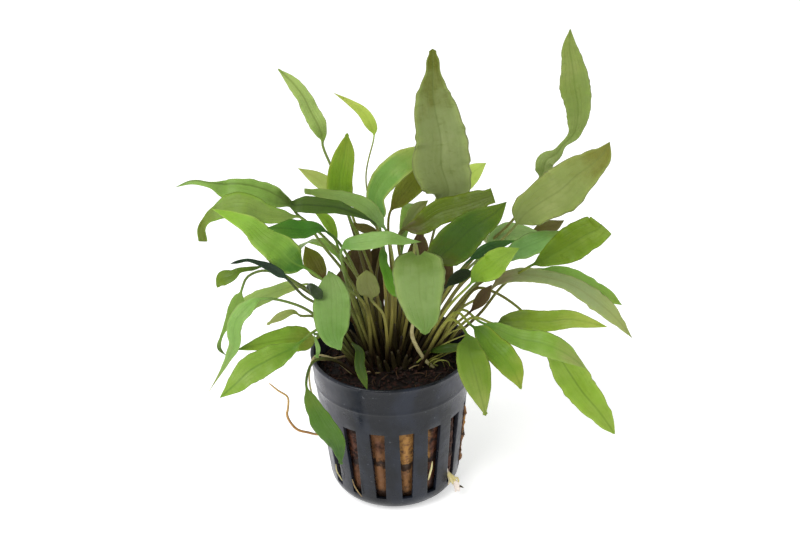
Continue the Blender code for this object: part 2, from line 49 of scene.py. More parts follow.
CAMERA_LOOKS_AT = np.array((0.0037, 0.0, 0.07697))
CAMERA_DISTANCE = 0.380
CAMERA_RAISED = np.radians(27.7)
CAMERA_ROLLED = np.radians(-1.94)
SENSOR_WIDTH = 36.0
NEAREST_SEEN = 0.01


def stand(thing, place, right, up, back):
    """Put a camera or lamp at a place; Blender takes the four columns of its matrix one by one."""
    thing.matrix_world = [(*right, 0.0), (*up, 0.0), (*back, 0.0), (*place, 1.0)]


def make_camera():
    """A camera on a ray that rises from the aim point towards the front, rolled about that ray."""
    back = np.array((0.0, -np.cos(CAMERA_RAISED), np.sin(CAMERA_RAISED)))
    level = np.array((1.0, 0.0, 0.0))
    upright = np.cross(back, level)
    right = level * np.cos(CAMERA_ROLLED) + upright * np.sin(CAMERA_ROLLED)
    up = np.cross(back, right)
    data = bpy.data.cameras.new("camera")
    data.sensor_fit = "HORIZONTAL"
    data.sensor_width = SENSOR_WIDTH
    data.lens = SENSOR_WIDTH * FOCAL_PIXELS / FRAME_WIDTH
    data.clip_start = NEAREST_SEEN
    camera = bpy.data.objects.new("camera", data)
    bpy.context.scene.collection.objects.link(camera)
    stand(camera, CAMERA_LOOKS_AT + back * CAMERA_DISTANCE, right, up, back)
    bpy.context.scene.camera = camera


make_camera()

# The plant stands on a plain white floor that glows a little, like a sheet lit from below, under
# an even white surround, with a broad lamp above on the left and a weaker one on the right.
# Each row of LAMPS holds a lamp's name, place, size and power in watts.
FLOOR_HALF = 6.0
FLOOR_WHITE = (0.97, 0.97, 0.97)
FLOOR_ROUGHNESS = 0.9
FLOOR_SPECULAR = 0.1
FLOOR_GLOW = 0.42
SURROUND_STRENGTH = 0.52
LAMPS = [
    ("lamp_left", (-0.45, -0.45, 0.75), 0.6, 7.0),
    ("lamp_right", (0.75, -0.30, 0.50), 0.6, 2.0),
]
LAMPS_AIM = np.array((0.0, 0.0, 0.07))


def make_studio():
    """The floor is one flat square, each lamp a square that faces the plant."""
    plane = bpy.data.meshes.new("floor")
    corners = [(-FLOOR_HALF, -FLOOR_HALF, 0), (FLOOR_HALF, -FLOOR_HALF, 0),
               (FLOOR_HALF, FLOOR_HALF, 0), (-FLOOR_HALF, FLOOR_HALF, 0)]
    plane.from_pydata(corners, [], [(0, 1, 2, 3)])
    floor = bpy.data.objects.new("floor", plane)
    bpy.context.scene.collection.objects.link(floor)
    white = bpy.data.materials.new("floor_white")
    white.use_nodes = True
    shader = white.node_tree.nodes["Principled BSDF"]
    shader.inputs["Base Color"].default_value = (*FLOOR_WHITE, 1.0)
    shader.inputs["Roughness"].default_value = FLOOR_ROUGHNESS
    shader.inputs["Specular IOR Level"].default_value = FLOOR_SPECULAR
    shader.inputs["Emission Color"].default_value = (1.0, 1.0, 1.0, 1.0)
    shader.inputs["Emission Strength"].default_value = FLOOR_GLOW
    plane.materials.append(white)
    for name, place, size, power in LAMPS:
        data = bpy.data.lights.new(name, "AREA")
        data.size = size
        data.energy = power
        lamp = bpy.data.objects.new(name, data)
        bpy.context.scene.collection.objects.link(lamp)
        back = np.array(place) - LAMPS_AIM
        back = back / np.linalg.norm(back)
        right = np.cross((0.0, 0.0, 1.0), back)
        right = right / np.linalg.norm(right)
        stand(lamp, place, right, np.cross(back, right), back)
    world = bpy.data.worlds.new("surround")
    world.use_nodes = True
    glow = world.node_tree.nodes["Background"]
    glow.inputs["Color"].default_value = (1.0, 1.0, 1.0, 1.0)
    glow.inputs["Strength"].default_value = SURROUND_STRENGTH
    bpy.context.scene.world = world
    bpy.context.scene.view_settings.view_transform = "Standard"


make_studio()

# The net pot is one moulding of dark charcoal polypropylene: a plain collar, sixteen tapering
# slots below it and a closed, rounded bottom. It stands free on its flat base.
MM = 0.001
POT_HEIGHT = 49.0
RIM_RADIUS = 25.0
BASE_RADIUS = 20.2
BASE_EDGE_RADIUS = 6.0
WALL = 1.2
SLOT_COUNT = 16
SLOT_BOTTOM = 6.2
SLOT_TOP = 32.0
SLOT_HALF_TOP = 5.8
SLOT_HALF_BOTTOM = 4.3
FIRST_SLOT = -12.5
SLOT_COLUMNS = 6
BAR_COLUMNS = 8
SLOT_LEVELS = 9
RIDGE_HEIGHT = 40.0
RIDGE_DEPTH = 0.2
RIDGE_SPREAD = 0.45
COLLAR_LEVELS = (34.0, 37.0, 39.2, 39.6, 40.0, 40.5, 41.2, 44.0, 47.0, 48.4)
BASE_CURVE = 78.0
INSIDE_BASE_LEVELS = (3.4, 1.9, WALL)
INSIDE_BASE_RADII = (17.6, 16.3)
EDGE_BEVEL = 0.18
EDGE_ANGLE = 40.0
POT_SPECULAR = 0.26
POT_GRAIN_DEPTH = 0.16
POT_CHARCOAL = (15, 18, 24)
POT_PAINTED_SHEEN = (28, 33, 44)
POT_PAINTED_REFLECTION = (88, 88, 98)
POT_SCUFF = (120, 124, 130)


def seen(colour):
    """A colour as the eye sees it, 0 to 255, as the linear value that a shader takes."""
    share = np.array(colour) / 255.0
    return (*np.where(share <= 0.04045, share / 12.92, ((share + 0.055) / 1.055) ** 2.4), 1.0)


def set_input(tree, socket, value):
    """Join a socket, or set a number or a colour on it."""
    if isinstance(value, bpy.types.NodeSocket):
        tree.links.new(value, socket)
    elif value is not None:
        socket.default_value = value


def math_node(tree, operation, first, second=None, clamp=False):
    """One operation on one or two values."""
    node = tree.nodes.new("ShaderNodeMath")
    node.operation = operation
    node.use_clamp = clamp
    set_input(tree, node.inputs[0], first)
    set_input(tree, node.inputs[1], second)
    return node.outputs[0]


def times(tree, first, second):
    """The product of two values."""
    return math_node(tree, "MULTIPLY", first, second)


def plus(tree, first, second):
    """The sum of two values."""
    return math_node(tree, "ADD", first, second)


def ease(tree, value, low, high, start=0.0, end=1.0):
    """A smooth step from start to end as value goes from low to high."""
    node = tree.nodes.new("ShaderNodeMapRange")
    node.interpolation_type = "SMOOTHSTEP"
    for socket, number in zip(node.inputs[:5], (value, low, high, start, end)):
        set_input(tree, socket, number)
    return node.outputs[0]


def blend(tree, share, first, second, kind="MIX"):
    """A mix of two colours."""
    node = tree.nodes.new("ShaderNodeMix")
    node.data_type = "RGBA"
    node.blend_type = kind
    set_input(tree, node.inputs[0], share)
    set_input(tree, node.inputs[6], first)
    set_input(tree, node.inputs[7], second)
    return node.outputs[2]


def noise(tree, vector, feature_mm, detail=2.0, stretch=(1.0, 1.0, 1.0)):
    """Cloudy noise whose blobs are about feature_mm across; stretch draws them out along an axis."""
    place = tree.nodes.new("ShaderNodeMapping")
    place.inputs["Scale"].default_value = [1.0 / (feature_mm * MM * s) for s in stretch]
    tree.links.new(vector, place.inputs["Vector"])
    node = tree.nodes.new("ShaderNodeTexNoise")
    node.inputs["Scale"].default_value = 1.0
    node.inputs["Detail"].default_value = detail
    tree.links.new(place.outputs[0], node.inputs["Vector"])
    return node.outputs["Fac"]


def new_material(name):
    """An empty Principled material: its tree, its shader and the Object coordinates."""
    material = bpy.data.materials.new(name)
    material.use_nodes = True
    tree = material.node_tree
    coordinates = tree.nodes.new("ShaderNodeTexCoord")
    return material, tree, tree.nodes["Principled BSDF"], coordinates.outputs["Object"]


def split_axes(tree, vector):
    """The three values of a vector."""
    node = tree.nodes.new("ShaderNodeSeparateXYZ")
    tree.links.new(vector, node.inputs[0])
    return node.outputs


def finish_surface(tree, shader, colour, roughness, specular, height, depth_mm):
    """Give a shader its colour, roughness and gloss, and a bump from a height of 0 to 1."""
    set_input(tree, shader.inputs["Base Color"], colour)
    set_input(tree, shader.inputs["Roughness"], roughness)
    set_input(tree, shader.inputs["Specular IOR Level"], specular)
    bump = tree.nodes.new("ShaderNodeBump")
    bump.inputs["Distance"].default_value = depth_mm * MM
    tree.links.new(height, bump.inputs["Height"])
    tree.links.new(bump.outputs[0], shader.inputs["Normal"])


def add_piece(name, points, faces, material, replaced=(), uv=None, numbers=None):
    """Put a mesh of points in millimetres into the scene as a smooth piece that rides on the root.

    uv holds one pair for each point, numbers one value for each point under an attribute's name.
    """
    mesh = bpy.data.meshes.new(name)
    mesh.from_pydata(points * MM, [], faces)
    mesh.polygons.foreach_set("use_smooth", np.ones(len(mesh.polygons), dtype=bool))
    if uv is not None:
        corners = np.empty(len(mesh.loops), dtype=np.int32)
        mesh.loops.foreach_get("vertex_index", corners)
        layer = mesh.uv_layers.new(name="leaf")
        layer.uv.foreach_set("vector", uv[corners].astype(np.float32).ravel())
    for key, values in (numbers or {}).items():
        attribute = mesh.attributes.new(key, "FLOAT", "POINT")
        attribute.data.foreach_set("value", values.astype(np.float32))
    mesh.materials.append(material)
    mesh.update()
    piece = bpy.data.objects.new(name, mesh)
    bpy.context.scene.collection.objects.link(piece)
    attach(piece, "root")
    if replaced:
        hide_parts(*replaced)
    return piece


def grid_faces(rings, columns):
    """Quads between the closed rings of a grid whose points run ring by ring."""
    ring, column = np.meshgrid(np.arange(rings - 1), np.arange(columns), indexing="ij")
    beside = (column + 1) % columns
    low, high = ring * columns, (ring + 1) * columns
    return np.stack((low + column, low + beside, high + beside, high + column), -1).reshape(-1, 4)


def pot_outside(z):
    """The straight taper of the pot's outside."""
    return BASE_RADIUS + (RIM_RADIUS - BASE_RADIUS) * z / POT_HEIGHT


def pot_material():
    """Moulded plastic: charcoal with a painted cloudy sheen, a painted pale reflection towards the left
    and right of the pot, a fine grain and a few pale scuffs."""
    material, tree, shader, place = new_material("pot_plastic")
    cloud = noise(tree, place, 8.0, 3.0, (1.0, 1.0, 1.8))
    # Painted sheen: cloudy patches of a paler blue-grey stand in for soft reflections on the plastic.
    colour = blend(tree, ease(tree, cloud, 0.4, 0.66), seen(POT_CHARCOAL), seen(POT_PAINTED_SHEEN))
    # Painted reflection: towards the left and right of the pot, as seen from the front, the colour turns pale
    # like a grazing reflection.
    shift = ease(tree, cloud, 0.3, 0.7, -3.0 * MM, 3.0 * MM)
    east = plus(tree, split_axes(tree, place)[0], shift)
    aside = math_node(tree, "ABSOLUTE", plus(tree, east, -1.0 * MM))
    side_reflection = times(tree, ease(tree, aside, 13.0 * MM, 25.0 * MM), 0.6)
    colour = blend(tree, side_reflection, colour, seen(POT_PAINTED_REFLECTION))
    specks = noise(tree, place, 1.2, 2.0)
    zone = noise(tree, place, 7.0, 1.0)
    scuffs = times(tree, ease(tree, specks, 0.66, 0.74), ease(tree, zone, 0.5, 0.62))
    colour = blend(tree, times(tree, scuffs, 0.4), colour, seen(POT_SCUFF))
    roughness = ease(tree, noise(tree, place, 6.0, 3.0), 0.3, 0.7, 0.2, 0.42)
    grain = noise(tree, place, 3.5, 4.0)
    finish_surface(tree, shader, colour, roughness, POT_SPECULAR, grain, POT_GRAIN_DEPTH)
    return material


def make_pot():
    """A grid of rings by columns: each ring is a circle whose columns crowd into slots and bars.

    A column's angle is the slot's middle plus a share of its half angle, and the slots' half angle
    shrinks evenly towards the bottom. The rings run up the outside, over the rim and down the inside.
    """
    levels = np.linspace(SLOT_BOTTOM, SLOT_TOP, SLOT_LEVELS)
    edge_middle = BASE_RADIUS - BASE_EDGE_RADIUS
    turn = np.radians(np.linspace(0.0, BASE_CURVE, 7))
    rise = BASE_EDGE_RADIUS * (1.0 - np.cos(turn))
    taper = (RIM_RADIUS - BASE_RADIUS) / POT_HEIGHT
    corner_r = edge_middle + BASE_EDGE_RADIUS * np.sin(turn) + taper * rise
    collar = np.array(COLLAR_LEVELS)
    ridge = RIDGE_DEPTH * np.exp(-((collar - RIDGE_HEIGHT) / RIDGE_SPREAD) ** 2)
    rim = np.radians(np.arange(0.0, 181.0, 30.0))
    rim_r = RIM_RADIUS - WALL / 2 + WALL / 2 * np.cos(rim)
    rim_z = POT_HEIGHT - WALL / 2 + WALL / 2 * np.sin(rim)
    outer_r = np.concatenate((corner_r, pot_outside(levels), pot_outside(collar) + ridge, rim_r))
    outer_z = np.concatenate((rise, levels, collar, rim_z))
    inner_z = np.concatenate((collar[::-1][2:], levels[::-1], INSIDE_BASE_LEVELS))
    base_r = (*INSIDE_BASE_RADII, edge_middle + 0.6)
    inner_r = np.concatenate((pot_outside(inner_z[:-3]) - WALL, base_r))
    radius, height = np.concatenate((outer_r, inner_r)), np.concatenate((outer_z, inner_z))
    half = np.interp(height, (SLOT_BOTTOM, SLOT_TOP), (SLOT_HALF_BOTTOM, SLOT_HALF_TOP))[:, None]
    pitch = 360.0 / SLOT_COUNT
    in_slot = half * np.linspace(-1.0, 1.0, SLOT_COLUMNS + 1)
    in_bar = half + (pitch - 2.0 * half) * np.linspace(0.0, 1.0, BAR_COLUMNS + 1)[1:-1]
    period = np.concatenate((in_slot, in_bar), 1)
    starts = FIRST_SLOT + pitch * np.arange(SLOT_COUNT)
    angle = np.radians(starts[None, :, None] + period[:, None, :] - 90.0).reshape(len(radius), -1)
    points = np.stack((radius[:, None] * np.cos(angle), radius[:, None] * np.sin(angle),
                       np.broadcast_to(height[:, None], angle.shape)), -1).reshape(-1, 3)
    rings, columns = angle.shape
    quads = grid_faces(rings, columns).reshape(rings - 1, columns, 4)
    per = SLOT_COLUMNS + BAR_COLUMNS
    slotted = np.arange(columns) % per < SLOT_COLUMNS
    keep = np.ones((rings - 1, columns), dtype=bool)
    first_out = len(corner_r)
    first_in = len(outer_r) + len(collar) - 2
    keep[first_out:first_out + SLOT_LEVELS - 1, slotted] = False
    keep[first_in:first_in + SLOT_LEVELS - 1, slotted] = False
    index = np.arange(rings * columns).reshape(rings, columns)
    outside = index[first_out:first_out + SLOT_LEVELS]
    inside = index[first_in:first_in + SLOT_LEVELS][::-1]
    left, right = np.arange(SLOT_COUNT) * per, np.arange(SLOT_COUNT) * per + SLOT_COLUMNS
    here = np.flatnonzero(slotted)
    walls = [
        (outside[1:, left], outside[:-1, left], inside[:-1, left], inside[1:, left]),
        (outside[:-1, right], outside[1:, right], inside[1:, right], inside[:-1, right]),
        (outside[-1, here + 1], outside[-1, here], inside[-1, here], inside[-1, here + 1]),
        (outside[0, here], outside[0, here + 1], inside[0, here + 1], inside[0, here]),
    ]
    walls = [np.stack(sides, -1).reshape(-1, 4) for sides in walls]
    faces = np.concatenate((quads[keep], *walls)).tolist()
    faces += [index[0, ::-1].tolist(), index[-1].tolist()]
    pot = add_piece("net_pot", points, faces, pot_material(), ("pot",))
    bevel = pot.modifiers.new("soft edges", "BEVEL")
    bevel.width = EDGE_BEVEL * MM
    bevel.segments = 2
    bevel.limit_method = "ANGLE"
    bevel.angle_limit = np.radians(EDGE_ANGLE)


make_pot()

# The growing medium is a plug of rock wool and peat that fills the pot. It shows as tan and
# red-brown blocks behind the slots, and as a wet, dark, fibrous crust round the stalks.
SOIL_TOP = 44.0
SOIL_EDGE_DROP = 1.2
LEVEL_RADIUS = 14.0
SLOPE_WIDTH = 8.0
SIDE_RINGS = 58
TOP_RINGS = 42
FOOT_RADII = (14.0, 16.8)
FOOT_LEVELS = (WALL + 0.3, 2.6)
MEDIUM_GAP = 0.45
MEDIUM_COLUMNS = 192
SLOT_BULGE = 0.95
BESIDE_BULGE = 1.3
RIGHT_BULGE = 2.9
PROUD_LOW = 19.4
PROUD_HIGH = 20.0
PROUD_TAPER = 0.0956
CRACK_LEVEL = 19.2
MEDIUM_SPECULAR = 0.22
THREAD_DEPTH = 0.3
PEAT_DARK_AND_SHADE = (24, 13, 10)
PEAT_RED = (82, 46, 28)
PEAT_TAN = (112, 76, 46)
PEAT_GOLD = (160, 117, 62)
CRUST_DARK = (18, 12, 10)
CRUST_RED = (58, 31, 23)


def lumps(points, cell, seed=0):
    """Smooth random heights from -1 to 1: random numbers at the corners of a cubic lattice of that
    cell size, blended between the eight corners with weights that ease in and out."""
    grid = np.floor(points / cell).astype(np.int64)
    share = points / cell - grid
    share = share * share * (3.0 - 2.0 * share)
    total = np.zeros(len(points))
    for corner in np.ndindex(2, 2, 2):
        key = (grid + corner) @ np.array((73856093, 19349663, 83492791)) + 9176 * seed
        key = (key ^ (key >> 13)) * 1274126177 & 0xFFFFFFF
        value = ((key ^ (key >> 15)) & 0xFFFF) / 32767.5 - 1.0
        total += value * np.prod(np.where(corner, share, 1.0 - share), axis=1)
    return total


def closed_faces(rings, columns):
    """The quads of a grid of closed rings, with one more face over its first ring and its last."""
    first = np.arange(columns)
    last = (rings - 1) * columns + first
    return grid_faces(rings, columns).tolist() + [first[::-1].tolist(), last.tolist()]


def medium_top(r):
    """The top's height at a distance from the pot's axis: level, then falling with its square."""
    return SOIL_TOP - SOIL_EDGE_DROP * np.clip((r - LEVEL_RADIUS) / SLOPE_WIDTH, 0.0, 1.0) ** 2


def medium_material():
    """Red-brown peat with blocks of tan and gold, most of them at the front of the pot and where it
    swells out on the right. Painted shade darkens a crack round it at CRACK_LEVEL, the part below the
    collar and the part back inside the slots on the right; its lowest part and small pits are dark
    too, and so is the wet crust on top."""
    material, tree, shader, place = new_material("growing_medium")
    east, north, height = split_axes(tree, place)
    blocks = noise(tree, place, 9.0, 1.0, (1.0, 1.0, 1.3))
    threads = noise(tree, place, 1.1, 4.0, (1.0, 1.0, 0.75))
    crumbs = noise(tree, place, 1.5, 4.0)
    fresh = times(tree, ease(tree, east, -3.0 * MM, 2.0 * MM), ease(tree, threads, 0.3, 0.6))
    fresh = times(tree, fresh, ease(tree, height, 16.0 * MM, 20.0 * MM, 0.25, 1.0))
    warm = blend(tree, fresh, seen(PEAT_TAN), seen(PEAT_GOLD))
    cool = blend(tree, ease(tree, crumbs, 0.35, 0.7), seen(PEAT_RED), seen(PEAT_DARK_AND_SHADE))
    left_end = ease(tree, east, -13.0 * MM, -7.0 * MM)
    right_end = ease(tree, east, 13.0 * MM, 8.0 * MM)
    front = times(tree, ease(tree, north, -9.0 * MM, -19.0 * MM), times(tree, left_end, right_end))
    patches = plus(tree, times(tree, front, 0.5), blocks)
    colour = blend(tree, ease(tree, patches, 0.70, 0.90), cool, warm)
    proud = math_node(tree, "SUBTRACT", east, times(tree, height, PROUD_TAPER))
    colour = blend(tree, ease(tree, proud, PROUD_LOW * MM, PROUD_HIGH * MM), colour, warm)
    wobble = times(tree, math_node(tree, "SUBTRACT", crumbs, 0.5), 5.0 * MM)
    wobble = plus(tree, wobble, ease(tree, blocks, 0.25, 0.75, -1.5 * MM, 1.5 * MM))
    level = plus(tree, height, wobble)
    from_crack = math_node(tree, "ABSOLUTE", math_node(tree, "SUBTRACT", level, CRACK_LEVEL * MM))
    right_side = ease(tree, east, 13.0 * MM, 18.0 * MM, 0.0, 0.3)
    inside = ease(tree, proud, PROUD_HIGH * MM, PROUD_LOW * MM)
    # Painted shade: the crack, the part below the collar and the part back inside the slots on the right turn
    # dark, as do the lowest part and small pits.
    shade = ease(tree, from_crack, 1.9 * MM, 0.7 * MM)
    for darkness in (
        ease(tree, level, 10.5 * MM, 7.0 * MM),
        ease(tree, level, 29.0 * MM, 33.0 * MM),
        ease(tree, noise(tree, place, 2.4, 4.0), 0.44, 0.3, 0.0, 0.8),
        times(tree, right_side, inside),
    ):
        shade = math_node(tree, "MAXIMUM", shade, darkness)
    colour = blend(tree, times(tree, shade, 0.9), colour, seen(PEAT_DARK_AND_SHADE))
    crust = blend(tree, ease(tree, crumbs, 0.45, 0.75), seen(CRUST_DARK), seen(CRUST_RED))
    colour = blend(tree, ease(tree, height, 40.0 * MM, 42.0 * MM), colour, crust)
    roughness = ease(tree, crumbs, 0.3, 0.7, 0.45, 0.85)
    finish_surface(tree, shader, colour, roughness, MEDIUM_SPECULAR, threads, THREAD_DEPTH)
    return material


def make_medium():
    """A turned plug: rings up its side, then inward over the top, moved by noise.

    The side's radius shrinks by the size of the noise. Where a slot lets it, the side swells by a
    share that fades towards the slot's edges, most on the right of the pot. The top goes up and
    down with the noise.
    """
    side_z = np.linspace(SLOT_BOTTOM, SOIL_TOP - SOIL_EDGE_DROP - 0.6, SIDE_RINGS)
    side_r = pot_outside(side_z) - WALL - MEDIUM_GAP
    top_r = np.linspace(side_r[-1] - 0.4, 0.4, TOP_RINGS)
    radius = np.concatenate((FOOT_RADII, side_r, top_r))
    height = np.concatenate((FOOT_LEVELS, side_z, medium_top(top_r)))
    angle = np.linspace(0.0, 2.0 * np.pi, MEDIUM_COLUMNS, endpoint=False)
    r, a = np.meshgrid(radius, angle, indexing="ij")
    z = np.broadcast_to(height[:, None], r.shape)
    at = np.stack((r * np.cos(a), r * np.sin(a), z), -1).reshape(-1, 3)
    rough = 0.55 * lumps(at, 3.0, 1) + 0.35 * lumps(at, 1.3, 2) + 0.2 * lumps(at, 0.7, 3)
    rough = rough.reshape(r.shape)
    pitch = 360.0 / SLOT_COUNT
    off = (np.degrees(a) + 90.0 - FIRST_SLOT + pitch / 2) % pitch - pitch / 2
    in_slot = np.clip((3.9 - np.abs(off)) / 1.6, 0.0, 1.0)
    above = np.clip((z - SLOT_BOTTOM - 0.8) / 2.0, 0.0, 1.0)
    window = above * np.clip((SLOT_TOP - 0.8 - z) / 2.0, 0.0, 1.0)
    bulges = (0.0, BESIDE_BULGE, BESIDE_BULGE, RIGHT_BULGE)
    rightward = np.interp(np.cos(a), (0.78, 0.84, 0.92, 0.96), bulges)
    even, proud = SLOT_BULGE * (0.5 + 0.5 * rough), rightward * (0.6 + 0.4 * rough)
    swell = in_slot * window * (even + proud)
    is_side = (np.arange(len(radius)) < len(FOOT_RADII) + len(side_r))[:, None]
    out = np.where(is_side, swell - 0.6 * np.abs(rough) * (1.0 - window * in_slot), 0.0)
    lift = np.where(is_side, 0.0, 0.75 * rough - 0.35)
    points = np.stack(((r + out) * np.cos(a), (r + out) * np.sin(a), z + lift), -1).reshape(-1, 3)
    faces = closed_faces(len(radius), MEDIUM_COLUMNS)
    add_piece("growing_medium", points, faces, medium_material(), ("substrate",))


make_medium()

# Every leaf grew as one piece: a thin round stalk out of the medium that runs on as the midrib of
# a soft, thin blade with arching side veins and a slightly waved edge.
STALK_RADIUS = 0.44
STALK_START = 43.2
RIB_RADIUS = 0.38
BLADE_THICKNESS = 0.34
EDGE_THICKNESS = 0.10
STALK_ROWS = (-1.0, -0.6, 0.0, 1.0)
STALK_SHARES = (1.35, 1.1, 0.9, 0.2)
TIP_RADIUS = 0.3
WAVE_LENGTH = 7.5
PUCKER_DEPTH = 0.10
STALK_ROW = 1.6
BLADE_ROW = 0.65
HALF_COLUMNS = 8
SIDE_VEINS = 3
STALK_LEFT = (104, 114, 54)
STALK_RIGHT = (172, 170, 84)
STALK_MIDDLE = (138, 130, 64)
STALK_BROWN_AND_SHADE = (44, 30, 19)
LEAF_SPECULAR = 0.17
LEAF_GRAIN_DEPTH = 0.09

